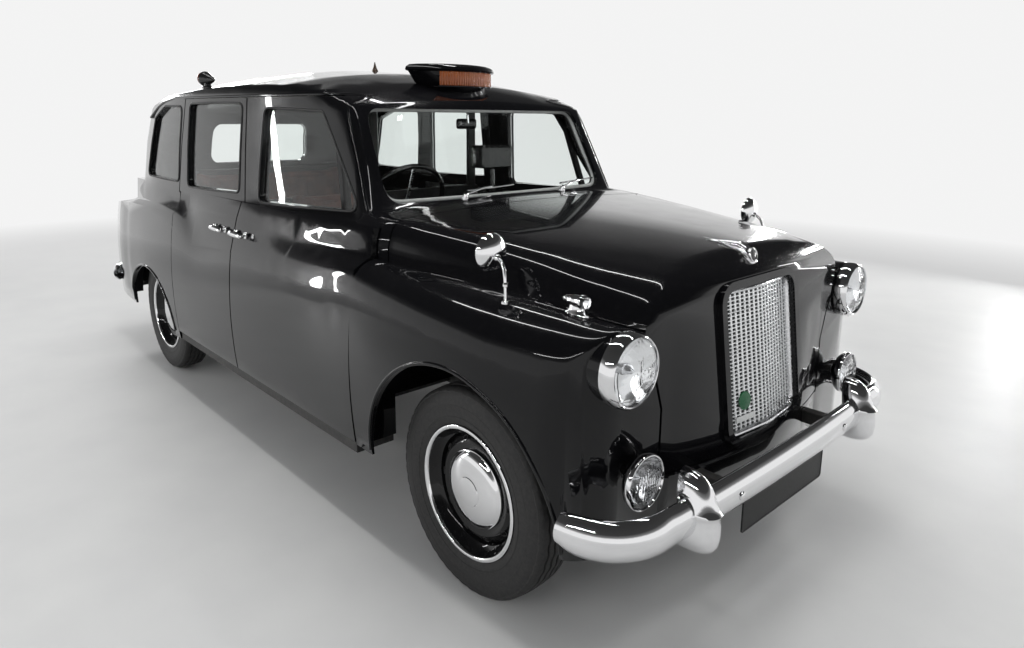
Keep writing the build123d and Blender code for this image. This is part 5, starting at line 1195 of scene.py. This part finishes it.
# Roof sign: the boat-shaped housing, its amber lens ribbed upright --------------------
SIGN_TIP = (0.496, 0.250)
SIGN_FRONT_X = 0.640
WALL_STEPS = 140
sagitta = SIGN_FRONT_X - SIGN_TIP[0]
sign_r = (SIGN_TIP[1] ** 2 + sagitta ** 2) / (2 * sagitta)
sign_center = SIGN_FRONT_X - sign_r


def sign_wall(name, low, high, swing, reach, ribs, depth, made):
    """Upright strip bowed like the sign's front, ribbed across."""
    swing, rings = radians(swing), []
    edge, back = sign_r - 0.002, sign_r - 0.006
    for k in range(WALL_STEPS + 1):
        turn = swing * (2 * k / WALL_STEPS - 1)
        crest = edge + reach + depth * (0.5 + 0.5 * cos(turn / swing * ribs * pi))
        for out, z in ((edge, low), (crest, low + 0.002), (crest, high - 0.002), (edge, high),
                       (back, high), (back, low)):
            rings.append(Vector((sign_center + out * cos(turn), out * sin(turn), z)))
    mesh_piece(name, *capped(rings, 6), made, 60)


sign_wall("sign_lens", 1.622, 1.682, 30, 0.0030, 26, 0.0022, AMBER)
for name, low, high in (("low", 1.616, 1.6225), ("high", 1.6815, 1.686)):
    sign_wall("sign_lens_bead_" + name, low, high, 31, 0.0045, 0, 0.0, BODY)
# Housing: tucked in below like a boat's hull, with a visor over the lens
SIGN_LEVELS = ((1.578, 0.12, 0.6), (1.6, 0.14, 0.612), (1.612, 0.165, 0.622), (1.636, 0.2, 0.632),
               (1.682, 0.234, 0.633), (1.6845, 0.246, 0.642), (1.69, 0.25, 0.646),
               (1.702, 0.244, 0.643), (1.711, 0.226, 0.63), (1.7155, 0.19, 0.605),
               (1.7165, 0.08, 0.545))
hull = []
for z, reach, front in SIGN_LEVELS:
    proud = front - SIGN_TIP[0]
    radius = (reach ** 2 + proud ** 2) / (2 * proud)
    outline = []
    for k in range(41):
        turn = asin(min(1.0, reach / radius)) * (2 * k / 40 - 1)
        if proud > reach:
            turn = (pi - asin(reach / radius)) * (2 * k / 40 - 1)
        outline.append(Vector((front - radius + radius * cos(turn), radius * sin(turn), z)))
    for k in range(1, 40):
        y = reach * (1 - k / 20)
        outline.append(Vector((SIGN_TIP[0] - 0.041 * (1 - (y / reach) ** 2), y, z)))
    hull.append(outline)
total = len(hull[0])
verts = [p for outline in hull for p in outline]
made = mesh_piece("sign_housing", *capped(verts, total), BODY, 40)
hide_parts("roof_sign")

# Roof indicators: dark amber globes in black cones
for side, hand in SIDES:
    y = side * 0.672
    z = height_on(["roof"], -0.640, y, 2.0, 1.61)
    middle = Vector((-0.640, y, z + 0.042))
    toward = (-1, side * 0.18, 0.10)
    cone = [(-66, 0.4), (-66, 6), (-54, 13.5), (-30, 22.5), (-3, 32), (8, 36.2), (13, 36.8),
            (13.6, 33.5), (6, 31.5), (6, 0.4)]
    made = turned_piece("indicator_cone_" + hand, cone, middle, toward, HARD, 48, slot="body_black")
    if side < 0:
        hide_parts("roof_indicators")
    ball = [(6, 32.8)] + [(19 + 34.5 * cos(radians(a)), max(0.4, 34.5 * sin(radians(a))))
                          for a in range(105, -1, -15)]
    turned_piece("indicator_globe_" + hand, ball, middle, toward, GLOBE, 48)
    base = Vector((-0.634, y, z))
    neck = [(-8, 26), (2, 25.5), (9, 18), (28, 15)]
    turned_piece("indicator_foot_" + hand, neck, base, ABOVE, HARD, 32, slot="body_black")

# Finial
turned_piece("finial_cone", [(-4, 16), (2, 15.8), (6, 13), (16, 8.8), (32, 4.5), (43, 1.8),
                             (44.5, 0.4)], (-0.137, 0, 1.717), ABOVE, FINIAL, 32)
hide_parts("finial")


# Seals, gutters and beads -----------------------------------------------------------
def screen_x(y, z):
    """The windscreen's outer face."""
    return 0.885 - 0.524 * (z - 1.172) - 0.036 * (y / 0.591) ** 2


screen_outline = dense(rounded([(-0.602, 1.17), (0.602, 1.17), (0.581, 1.516), (-0.581, 1.516)],
                               0.062, 6), 0.04)
curve_piece("screen_seal", [[Vector((screen_x(p.x, p.y) + 0.007, p.x, p.y))
                             for p in screen_outline]], 0.0095, SEAL, closed=True)
curve_piece("screen_seal_lip", [[Vector((screen_x(p.x, p.y) + 0.004, p.x * 0.985,
                                         p.y + (0.005 if p.y < 1.3 else -0.005)))
                                 for p in screen_outline]], 0.0045, RUBBER, closed=True)

WINDOWS = {"front_door": [(0.103, 1.12), (0.134, 1.52), (0.54, 1.504), (0.829, 1.143)],
           "rear_door": [(-0.086, 1.146), (-0.066, 1.54), (-0.648, 1.54), (-0.69, 1.13)],
           "rear_quarter": [(-0.826, 1.147), (-0.772, 1.53), (-1.06, 1.528), (-1.236, 1.47),
                            (-1.372, 1.146)]}


def side_line(names, points, side, lift):
    """Points over the side of the cab at the places (x, z), lifted off it."""
    starts = [(p[0], side * 1.2, p[1]) for p in points]
    return laid_on(names, starts, (0, -side, 0), lift)


for side, hand in SIDES:
    for part, corners in WINDOWS.items():
        body = "root" if part == "rear_quarter" else part + "_" + hand
        middle = sum((Vector(c) for c in corners), Vector((0, 0))) / len(corners)
        outline = [p + (p - middle).normalized() * 0.005
                   for p in dense(rounded(corners, 0.036, 6), 0.035)]
        points = side_line([part + "_" + hand], outline, side, 0.0)
        if len(points) > 8:
            curve_piece(part + "_window_bead_" + hand, [points], 0.0048, RUBBER, closed=True,
                        body=body)
    gutter = dense([(0.892, 1.1), (0.79, 1.318), (0.678, 1.532), (0.645, 1.556), (0.606, 1.573),
                    (-0.9, 1.573), (-1.06, 1.558), (-1.18, 1.534), (-1.36, 1.472)], 0.05, False)
    names = ["roof", "scuttle", "rear_quarter_" + hand]
    points = side_line(names, gutter, side, 0.0015)
    curve_piece("rain_gutter_" + hand, [points], 0.0052, BODY)
    seam = np.array(FRONT_STATIONS)[:, :3]
    bead = []
    for x in np.linspace(1.105, 2.02, 24):
        y = float(np.interp(x, seam[:, 0], seam[:, 1])) + 0.0078
        hit = surface_hit(["front_wing_" + hand], (x, side * y, 1.3), (0, 0, -1))
        if hit:
            bead.append(hit + Vector((0, 0, 0.0006)))
    curve_piece("wing_bead_" + hand, [bead], 0.0032, RUBBER)

back_outline = dense(rounded([(-0.335, 1.18), (0.335, 1.18), (0.318, 1.432), (-0.318, 1.432)], 0.06,
                             6), 0.04)
back_points = laid_on(["rear_panel"], [(-3.0, p.x * 1.012, p.y + (0.004 if p.y > 1.3 else -0.004))
                                       for p in back_outline], (1, 0, 0), 0.001)
curve_piece("back_window_seal", [back_points], 0.007, RUBBER, closed=True)

# Door handles: bright bars over the rods near the meeting of the doors
HANDLE_Y = 0.859
HANDLE_Z = 0.978
for side, hand in SIDES:
    for part, x in (("front_door", 0.062), ("rear_door", -0.162)):
        body = part + "_" + hand
        bar_line = [(-69, 0.4), (-68.5, 5), (-65, 8.5), (-56, 10.8), (-30, 11.8), (0, 12.2),
                    (30, 11.8), (56, 10.8), (65, 8.5), (68.5, 5), (69, 0.4)]
        turned_piece("handle_bar_%s_%s" % (part, hand), bar_line, (x, side * HANDLE_Y, HANDLE_Z),
                     AHEAD, CHROME, 32, body=body)
        bosses = []
        for end in (-0.050, 0.050):
            hit = surface_hit([body], (x + end, side * 1.2, HANDLE_Z - 0.030), (0, -side, 0))
            base = (hit.y * side if hit else 0.838) - 0.004
            reach = (HANDLE_Y - base) / MM
            foot = [(0, 0.4), (0, 15), (6, 15), (9, 12), (11, 7.5), (reach - 2, 7), (reach, 0.4)]
            bosses.append(revolved(foot, (x + end, side * base, HANDLE_Z), (0, side, 0), 28))
        merge("handle_feet_%s_%s" % (part, hand), bosses, CHROME, body=body)
        lock = surface_hit([body], (x - 0.1 if part == "rear_door" else x + 0.105, side * 1.2,
                                    HANDLE_Z), (0, -side, 0))
        if lock:
            turned_piece("lock_%s_%s" % (part, hand), [(-3, 9.5), (2, 9.5), (3.5, 8), (3, 6),
                                                       (4.5, 5.2), (4.6, 0.4)], lock, (0, side, 0),
                         CHROME, 28, body=body)

# Bumpers -----------------------------------------------------------------------------
BLADE_Z = 0.455
BLADE_HALF = 0.058
BLADE_BULGE = 0.032
BLADE_FRONT = 2.240
OVERRIDER_Y = 0.513
OVERRIDER = ((0.574, 0.004, 2.182), (0.569, 0.016, 2.2), (0.556, 0.028, 2.222),
             (0.535, 0.037, 2.238), (0.51, 0.043, 2.249), (0.488, 0.047, 2.257),
             (0.478, 0.05, 2.266), (0.472, 0.0515, 2.271), (0.466, 0.05, 2.268),
             (0.458, 0.048, 2.264), (0.44, 0.048, 2.268), (0.412, 0.048, 2.27),
             (0.384, 0.045, 2.266), (0.366, 0.038, 2.254), (0.354, 0.024, 2.236),
             (0.351, 0.006, 2.215))
OVERRIDER_BACK = 2.172


def bumper_blade(name, facing, drop, corner, tip, node):
    """Spring-steel blade with a crowned face, swept round to the wings."""
    half = [(BLADE_FRONT - drop * (y / 0.640) ** 2, y) for y in np.linspace(0, 0.640, 22)]
    half += arc_through((BLADE_FRONT - drop, 0.640), corner, tip, 18)[1:] + [tip]
    path = [(x, -y) for x, y in half[:0:-1]] + half
    verts = []
    total = 0
    for k, (x, y) in enumerate(path):
        before, after = path[max(k - 1, 0)], path[min(k + 1, len(path) - 1)]
        along = Vector((after[0] - before[0], after[1] - before[1])).normalized()
        out = Vector((along.y, -along.x))
        edge = min(k, len(path) - 1 - k)
        swell = (0.80, 0.90, 0.955, 0.985)[edge] if edge < 4 else 1.0
        section = []
        for step in range(15):
            rise = -1 + 2 * step / 14
            section.append((BLADE_BULGE * ((1 - rise ** 2) ** 0.8 - 1), rise * BLADE_HALF * swell))
        section += [(-0.036, BLADE_HALF * swell), (-0.040, BLADE_HALF * 0.95 * swell)]
        section += [(a - 0.006, b * 0.93) for a, b in section[13:0:-1]]
        section += [(-0.040, -BLADE_HALF * 0.95 * swell), (-0.036, -BLADE_HALF * swell)]
        total = len(section)
        for a, b in section:
            verts.append(Vector((facing * (x + out.x * a), y + out.y * a, BLADE_Z + b)))
    made = mesh_piece(name, *capped(verts, total), CHROME, 45)
    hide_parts(node)
    for side, hand in SIDES:
        rings = []
        for z, wide, front in OVERRIDER:
            back = min(OVERRIDER_BACK - 0.020 * min(1.0, abs(z - 0.46) / 0.11), front - 0.006)
            for step in range(25):
                turn = radians(-90 + 180 * step / 24)
                deep = back + (front - back) * max(0.0, cos(turn)) ** 0.62
                rings.append(Vector((facing * deep, side * OVERRIDER_Y + wide * sin(turn), z)))
        mesh_piece("%s_overrider_%s" % (name, hand), *capped(rings, 25), CHROME, 50)
        iron = bar((facing * 2.085, side * 0.339 - 0.019, 0.432),
                   (facing * 2.212, side * 0.339 + 0.019, 0.478))
        soften(mesh_piece("%s_iron_%s" % (name, hand), *iron, CHASSIS), 0.003)
        bolt = [(0, 13), (3.5, 12.5), (6, 9.5), (6.8, 0.4)]
        turned_piece("%s_bolt_%s" % (name, hand), bolt,
                     (facing * (BLADE_FRONT - drop * (0.339 / 0.64) ** 2), side * 0.339, BLADE_Z),
                     (facing, 0, 0), CHROME, 28)


bumper_blade("front_blade", 1, 0.018, (2.165, 0.800), (2.008, 0.868), "front_bumper")
bumper_blade("rear_blade", -1, 0.018, (2.175, 0.790), (2.045, 0.852), "rear_bumper")


PLATE_LAYERS = ((0.0, 0.0), (0.0035, 0.0), (0.0042, 0.0012), (0.0042, 0.0046), (0.0026, 0.0062))


def blank_plate(name, body, facing, x, low, high, half):
    """Number plate left blank: a pressed sheet with a raised rim."""
    plate = slab((-half, low), (half, high), 0.012, 5, PLATE_LAYERS,
                 lambda deep, y, z: Vector((x + facing * deep, y, z)))
    mesh_piece(name, *plate, PLATE, 30, body=body)


blank_plate("front_plate", "root", 1, 2.196, 0.287, 0.399, 0.262)
blank_plate("rear_plate", "boot_lid", -1, -2.1835, 0.600, 0.712, 0.262)
lamp_shell = [(-125, 0.4), (-124, 12), (-118, 16.5), (118, 16.5), (124, 12), (125, 0.4)]
turned_piece("plate_lamp", lamp_shell, (-2.168, 0, 0.742), (0, 1, 0), CHROME, 32, body="boot_lid")
turned_piece("boot_handle", [(-52, 0.4), (-50, 7), (-40, 9.5), (40, 9.5), (50, 7), (52, 0.4)],
             (-2.168, 0, 0.8), (0, 1, 0), CHROME, 28, body="boot_lid")

# Tail lamps
for side, hand in SIDES:
    for name, z, r, tint in (("upper", 0.760, 36, RED), ("lower", 0.660, 30, AMBER)):
        at = (-2.118, side * 0.680, z)
        ring = [(-4, r), (10, r + 0.4), (24, r), (30, r - 2.2), (31, r - 4.2), (26, r - 5.2),
                (-4, r - 5.2)]
        made = turned_piece("tail_lamp_ring_%s_%s" % (name, hand), ring, at, (-1, 0, 0), CHROME, 48,
                            closed=True)
        if side < 0 and name == "upper":
            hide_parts("tail_lamps")
        lens = [(26, r - 4.5), (36, r - 6.2), (44, r * 0.72), (50, r * 0.42), (52.5, 0.4)]
        turned_piece("tail_lamp_lens_%s_%s" % (name, hand), lens, at, (-1, 0, 0), tint, 48)

# Wipers
for side, hand in SIDES:
    y = side * 0.280
    boss = [(-10, 13), (4, 12.8), (12, 10), (19, 9.2), (22.5, 7), (23.5, 0.4)]
    made = turned_piece("wiper_boss_" + hand, boss, (0.936, y, 1.172), (0.3, 0, 1), CHROME, 28)
    if side < 0:
        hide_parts("wipers")
    arm = [Vector((0.941, y, 1.188)), Vector((0.93, y + 0.045, 1.194)),
           Vector((0.902, y + 0.12, 1.204)), Vector((screen_x(y + 0.185, 1.205) + 0.02, y + 0.185,
                                                     1.206))]
    curve_piece("wiper_arm_" + hand, [arm], 0.004, CHROME)
    blade, rubber = [], []
    for k in range(9):
        across = y + 0.060 + 0.255 * k / 8
        z = 1.196 + 0.010 * k / 8
        blade.append(Vector((screen_x(across, z) + 0.0125 + 0.004 * (1 - (k / 4 - 1) ** 2), across,
                             z)))
        rubber.append(Vector((screen_x(across, z) + 0.0060, across, z - 0.002)))
    curve_piece("wiper_blade_" + hand, [blade], 0.0036, CHROME)
    curve_piece("wiper_rubber_" + hand, [rubber], 0.0038, RUBBER)

# Rolled lips round the wheel openings
FRONT_ARCH = (0.425, 0.425)
REAR_ARCH = (0.385, 0.286)
for side, hand in SIDES:
    for end, panel, x, (reach, rise) in (("front", "front_wing_", FRONT_AXLE_X, FRONT_ARCH),
                                         ("rear", "rear_quarter_", REAR_AXLE_X, REAR_ARCH)):
        lip = []
        for degrees in range(-2, 183, 4):
            turn = radians(degrees)
            start = (x + (reach + 0.0055) * cos(turn), side * 1.2,
                     TYRE_R + (rise + 0.0055) * sin(turn))
            hit = surface_hit([panel + hand], start, (0, -side, 0), 0.62)
            if hit and hit.y * side > 0.70:
                lip.append(hit + Vector((0, -side * 0.001, 0)))
        if len(lip) > 10:
            curve_piece("%s_arch_lip_%s" % (end, hand), [lip], 0.0068, BODY)

# Engine: cover, battery, air cleaner, fan and radiator
def lofted_box(name, low, high, z0, z1, corner, made, **where):
    """Upright box with rounded corners and a rolled top edge."""
    layers = ((z0, 0.0), (z1 - corner * 0.4, 0.0), (z1 - corner * 0.1, corner * 0.25),
              (z1, corner * 0.6))
    box = slab(low, high, corner, 4, layers, lambda z, x, y: Vector((x, y, z)))
    mesh_piece(name, *box, made, 30, **where)


lofted_box("rocker_cover", (1.24, -0.075), (1.78, 0.075), 0.897, 0.962, 0.03, HARD,
           slot="engine_grey")
lofted_box("battery", (1.14, 0.200), (1.30, 0.330), 0.760, 0.885, 0.012, HARD, slot="chassis_black")
turned_piece("air_cleaner", [(0, 0.4), (0, 70), (6, 78), (12, 80), (70, 80), (78, 76), (82, 60),
                             (84, 20), (92, 12), (94, 0.4)], (1.34, -0.135, 0.898), ABOVE, HARD, 48,
             slot="engine_grey")
for k, x in enumerate((1.34, 1.50, 1.66)):
    turned_piece("cover_nut_%d" % k, [(0, 13), (8, 12), (13, 7), (14, 0.4)], (x, 0, 0.96), ABOVE,
                 CHROME, 12)
HUB_AT = Vector((1.868, 0, 0.690))
BLADE = ((0.03, -0.018, -0.01), (0.155, -0.04, -0.016), (0.16, 0.02, 0.014), (0.03, 0.014, 0.008))
fan = []
for k in range(6):
    turn = radians(60 * k)
    reach, cross = Vector((0, cos(turn), sin(turn))), Vector((0, -sin(turn), cos(turn)))
    blade = [HUB_AT + reach * a + cross * b + Vector((c, 0, 0)) for a, b, c in BLADE]
    fan.append(sheet(blade, Vector((0.003, 0, 0))))
merge("fan_blades", fan, PIPE)
turned_piece("fan_hub", [(-42, 0.4), (-42, 30), (-18, 34), (4, 40), (10, 34), (12, 0.4)], HUB_AT,
             AHEAD, PIPE, 32)
core = [bar((1.925, -0.2, z - 0.005), (1.968, 0.2, z + 0.005))
        for z in np.linspace(0.545, 0.895, 15)]
merge("radiator_core", core, CHASSIS, 30)
for name, z0, z1, corner in (("header", 0.897, 0.945, 0.016), ("foot", 0.500, 0.540, 0.012)):
    lofted_box("radiator_" + name, (1.915, -0.215), (1.978, 0.215), z0, z1, corner, CHASSIS)
for side, hand in SIDES:
    soften(mesh_piece("radiator_side_" + hand, *bar((1.92, side * 0.215 - 0.008, 0.505),
                                                    (1.973, side * 0.215 + 0.008, 0.93)), CHASSIS),
           0.003)


# Seats -----------------------------------------------------------------------------------
PAD_FRAMES = 20
PAD_CAP = 0.024


def pad_start(size, voxel):
    """A rounded block, remeshed evenly, a little smaller than the pad."""
    shape = bmesh.new()
    bmesh.ops.create_cube(shape, size=1.0)
    bmesh.ops.scale(shape, vec=size, verts=shape.verts)
    bmesh.ops.bevel(shape, geom=shape.edges[:], offset=min(size) * 0.32, segments=5, profile=0.6,
                    affect="EDGES")
    data = bpy.data.meshes.new("pad_start")
    shape.to_mesh(data)
    shape.free()
    obj = new_object("pad_start", data)
    remesh(obj, voxel)
    return obj


def inflated(obj):
    """Blows the pad up as cloth under pressure and holds how far it may move."""
    before = coordinates(obj.data)
    cloth = obj.modifiers.new("cloth", "CLOTH")
    cloth.settings.quality = 4
    cloth.settings.use_pressure = True
    cloth.settings.uniform_pressure_force = 4
    cloth.settings.effector_weights.gravity = 0
    cloth.point_cache.frame_start = 1
    cloth.point_cache.frame_end = PAD_FRAMES
    for frame_number in range(1, PAD_FRAMES + 1):
        bpy.context.scene.frame_set(frame_number)
    blown = evaluated(obj)
    after = coordinates(blown)
    bpy.context.scene.frame_set(1)
    if len(after) == len(before):
        move = after - before
        reach = np.linalg.norm(move, axis=1, keepdims=True)
        after = before + move * np.minimum(1.0, PAD_CAP / np.maximum(reach, 1e-9))
    obj.data = blown
    blown.vertices.foreach_set("co", after.ravel())
    blown.update()


def pad(name, center, size, lean, face, pitch, voxel=0.008):
    """A fluted leather pad: its face along local x (a back) or z (a cushion)."""
    obj = pad_start(size, voxel)
    inflated(obj)
    mesh = obj.data
    place = coordinates(mesh)
    normals = vertex_normals(mesh)
    half = np.array(size) / 2
    hidden = place[:, face] < -half[face]
    place[hidden, face] = -half[face]
    toward = np.clip((normals[:, face] - 0.15) / 0.5, 0, 1)
    across = place[:, 1]
    groove = np.abs((across / pitch + 0.5) % 1.0 - 0.5) * pitch
    inside = np.clip((half[1] - 0.028 - np.abs(across)) / 0.02, 0, 1)
    along = 0 if face == 2 else 2
    border = half[along] - 0.050 - np.abs(place[:, along])
    fluted = np.clip(border / 0.012, 0, 1)
    depth = 0.0085 * np.exp(-(groove / 0.0062) ** 2) * fluted
    roll = 0.0055 * np.exp(-(border / 0.0070) ** 2)
    place -= normals * (toward * inside * np.maximum(depth, roll))[:, None]
    seam = np.abs(np.abs(across) - (half[1] - 0.026))
    place -= normals * (toward * 0.0045 * np.exp(-(seam / 0.0060) ** 2))[:, None]
    turn, shift = radians(lean), Vector(center)
    turned = np.empty_like(place)
    turned[:, 0] = shift.x + place[:, 0] * cos(turn) + place[:, 2] * sin(turn)
    turned[:, 1] = shift.y + place[:, 1]
    turned[:, 2] = shift.z - place[:, 0] * sin(turn) + place[:, 2] * cos(turn)
    mesh.vertices.foreach_set("co", turned.ravel())
    mesh.update()
    mesh.materials.clear()
    obj.name = name
    finish_piece(obj, HIDE, 0)
    smooth = obj.modifiers.new("subdivision", "SUBSURF")
    smooth.levels = smooth.render_levels = 1
    return obj


driver_cushion = pad("driver_cushion", (0.252, -0.355, 0.640), (0.385, 0.375, 0.100), 0, 2, 0.047)
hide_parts("driver_seat")
pad("driver_backrest", (0.004, -0.355, 0.915), (0.078, 0.372, 0.440), -14, 0, 0.047)
bench_cushion = pad("bench_cushion", (-1.160, 0, 0.826), (0.500, 1.010, 0.104), 0, 2, 0.072, 0.010)
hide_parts("rear_seat")
pad("bench_backrest", (-1.408, 0, 1.010), (0.070, 1.010, 0.262), -8, 0, 0.072, 0.010)
for name, low, high in (("driver_seat_frame", (0.080, -0.520, 0.5125), (0.420, -0.190, 0.592)),
                        ("bench_plinth", (-1.440, -0.500, 0.5125), (-0.905, 0.500, 0.776)),
                        ("bench_back_board", (-1.478, -0.520, 0.780), (-1.452, 0.520, 1.150)),
                        ("driver_back_board", (-0.075, -0.535, 0.640), (-0.058, -0.175, 1.100))):
    soften(mesh_piece(name, *bar(low, high), HIDE_BLACK if "frame" not in name else CHASSIS), 0.006)

# Steering wheel -----------------------------------------------------------------------------
WHEEL_AXIS = Vector((-0.866, 0, 0.5))
wheel_side = Vector((0, 1, 0))
wheel_up = WHEEL_AXIS.cross(wheel_side)
rim_path = [WHEEL_HUB + (wheel_side * cos(2 * pi * k / 48)
                         + wheel_up * sin(2 * pi * k / 48)) * 0.2055 for k in range(48)]
made = curve_piece("steering_rim", [rim_path], 0.0105, HARD, closed=True, body="steering_wheel")
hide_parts("steering_wheel")
spokes = []
for angle in (-90, 30, 150):
    reach = wheel_side * cos(radians(angle)) + wheel_up * sin(radians(angle))
    spokes.append([WHEEL_HUB - WHEEL_AXIS * 0.02 + reach * 0.026,
                   WHEEL_HUB - WHEEL_AXIS * 0.018 + reach * 0.09,
                   WHEEL_HUB - WHEEL_AXIS * 0.004 + reach * 0.16, WHEEL_HUB + reach * 0.203])
curve_piece("steering_spokes", spokes, 0.0062, BRIGHT, body="steering_wheel")
hub = [(-52, 0.4), (-52, 20), (-34, 26), (-20, 34), (-6, 35), (0, 32), (3, 24), (1, 22.5), (4, 21),
       (8, 12), (9, 0.4)]
turned_piece("steering_hub", hub, WHEEL_HUB, WHEEL_AXIS, HARD, 48, body="steering_wheel")

# Dash, meter and mirror ------------------------------------------------------------------------
def dial(name, y, z, radius):
    hit = surface_hit(["dashboard"], (0.30, y, z), (1, 0, 0))
    if not hit:
        return
    facing = (-1, 0, 0.12)
    ring = [(-2, radius), (6, radius + 3), (10, radius + 1), (9, radius - 3), (3, radius - 3),
            (-2, radius - 2)]
    turned_piece("dial_ring_" + name, ring, hit, facing, CHROME, 48, closed=True)
    face = [(1.2, radius), (1.6, radius * 0.86), (1, radius * 0.8), (1.4, radius * 0.14),
            (5, radius * 0.1), (5.4, 0.4)]
    turned_piece("dial_face_" + name, face, hit, facing, DIAL, 48)
    marks = []
    out = Vector(facing).normalized()
    up = (Vector((0, 0, 1)) - out * out.z).normalized()
    wide = out.cross(up)
    for k in range(13):
        turn = radians(-130 + 260 * k / 12)
        ray = up * cos(turn) + wide * sin(turn)
        cross = out.cross(ray)
        base = hit + out * 0.0018
        corners = [base + ray * radius * MM * a + cross * 0.0009 * b
                   for a, b in ((0.70, -1), (0.82, -1), (0.82, 1), (0.70, 1))]
        marks.append(sheet(corners, out * 0.0006))
    merge("dial_marks_" + name, marks, ENAMEL_WHITE)


for name, y, z, radius in (("speed", -0.345, 1.060, 46), ("fuel", -0.235, 1.050, 28),
                           ("oil", -0.455, 1.050, 28)):
    dial(name, y, z, radius)

meter_outline = rectangle((-0.055, 1.270), (0.118, 1.368), 0.012, 4)
levels = ((0.700, 0.006), (0.704, 0.0), (0.776, 0.0), (0.782, 0.006))
verts = []
for x, inset in levels:
    for p in meter_outline:
        verts.append(Vector((x, 0.0315 + (p.x - 0.0315) * (1 - inset / 0.086),
                             1.319 + (p.y - 1.319) * (1 - inset / 0.049))))
count = len(meter_outline)
mesh_piece("fare_meter", *capped(verts, count), HARD, 30)
face = slab((-0.040, 1.300), (0.103, 1.352), 0.006, 3, ((0.7005, 0), (0.6985, 0)), point_at)
mesh_piece("fare_meter_face", *face, BRIGHT)
foot_z = height_on(["dashboard"], 0.745, 0.031, 1.25, 1.128)
top = (1.276 - foot_z) / MM
stalk = [(-4, 26), (3, 25.5), (8, 12), (top - 14, 9.5), (top - 4, 18), (top, 0.4)]
turned_piece("fare_meter_stalk", stalk, (0.745, 0.031, foot_z), ABOVE, HARD, 28)
MIRROR_LOW, MIRROR_HIGH = (-0.112, 1.437), (-0.008, 1.481)
mirror_outline = rectangle(MIRROR_LOW, MIRROR_HIGH, 0.014)
shell = slab(MIRROR_LOW, MIRROR_HIGH, 0.014, 5, ((0.668, 0.0025), (0.671, 0.0), (0.682, 0.0),
                                                 (0.689, 0.007), (0.691, 0.015)), point_at)
mesh_piece("inside_mirror_shell", *shell, HARD, 30)
verts = [Vector((x, -0.06 + (p.x + 0.06) * 0.93, 1.459 + (p.y - 1.459) * 0.86))
         for x in (0.6682, 0.6668) for p in mirror_outline]
mesh_piece("inside_mirror_glass", *capped(verts, len(mirror_outline)), MIRROR)
top_z = height_on(["roof", "scuttle"], 0.676, -0.060, 1.47, 1.54, 1)
curve_piece("inside_mirror_stem", [[Vector((0.688, -0.06, 1.462)), Vector((0.69, -0.06, 1.49)),
                                    Vector((0.678, -0.06, top_z + 0.004))]], 0.0045, CHROME)

# Linings -----------------------------------------------------------------------------------
LINING = 0.003


def under_roof(x, y, drop):
    return Vector((x, y, height_on(["roof"], x, y, 1.25, 1.56, 1) - drop))


verts = [under_roof(x, y, 0.007) for x in np.linspace(-1.3, 0.56, 28)
         for y in np.linspace(-0.62, 0.62, 21)]
thicken(mesh_piece("roof_lining", verts, grid_faces(28, 21), HEADLINING, 60), LINING)
bows = [[under_roof(x, y, 0.0095) for y in np.linspace(-0.61, 0.61, 15)]
        for x in (0.3, -0.05, -0.45, -0.85, -1.2)]
curve_piece("roof_lining_seams", bows, 0.0022, HEADLINING)

for side, hand in SIDES:
    for part, x0, x1 in (("front_door", 0.04, 0.93), ("rear_door", -0.72, -0.09)):
        body = part + "_" + hand
        verts, rows, columns = [], 22, 16
        for i in range(rows):
            z = 0.46 + 0.61 * i / (rows - 1)
            for j in range(columns):
                x = x0 + (x1 - x0) * j / (columns - 1)
                hit = surface_hit([body], (x, side * 0.55, z), (0, side, 0), 0.4)
                y = (hit.y * side if hit else 0.79) - 0.010
                quilt = 0.004 * abs(sin(pi * (x - x0) / (x1 - x0) * 8)) if 0.62 < z < 0.95 else 0.0
                verts.append(Vector((x, side * (y - quilt), z)))
        card = mesh_piece("door_card_" + body, verts, grid_faces(rows, columns), HIDE_BLACK, 60,
                          body=body)
        thicken(card, LINING)
        middle = (x0 + x1) / 2
        hit = surface_hit([body], (middle, side * 0.55, 0.98), (0, side, 0), 0.4)
        y = (hit.y * side if hit else 0.79) - 0.012
        pull = [(middle + x, side * (y - inward), 0.985)
                for x, inward in ((-0.09, 0), (-0.075, 0.030), (0.075, 0.030), (0.09, 0))]
        curve_piece("door_pull_" + body, [pull], 0.0085, HARD, body=body)

for side, hand in SIDES:
    pane = slab((side * 0.026, 1.096), (side * 0.634, 1.514), 0.01, 3, ((-0.1745, 0), (-0.1695, 0)),
                point_at)
    mesh_piece("partition_pane_" + hand, *pane, GLASS, 30)
rail = [(x, y, 1.055) for x, y in ((-0.19, -0.52), (-0.225, -0.5), (-0.225, 0.5), (-0.19, 0.52))]
curve_piece("partition_grab_rail", [rail], 0.010, CHROME)
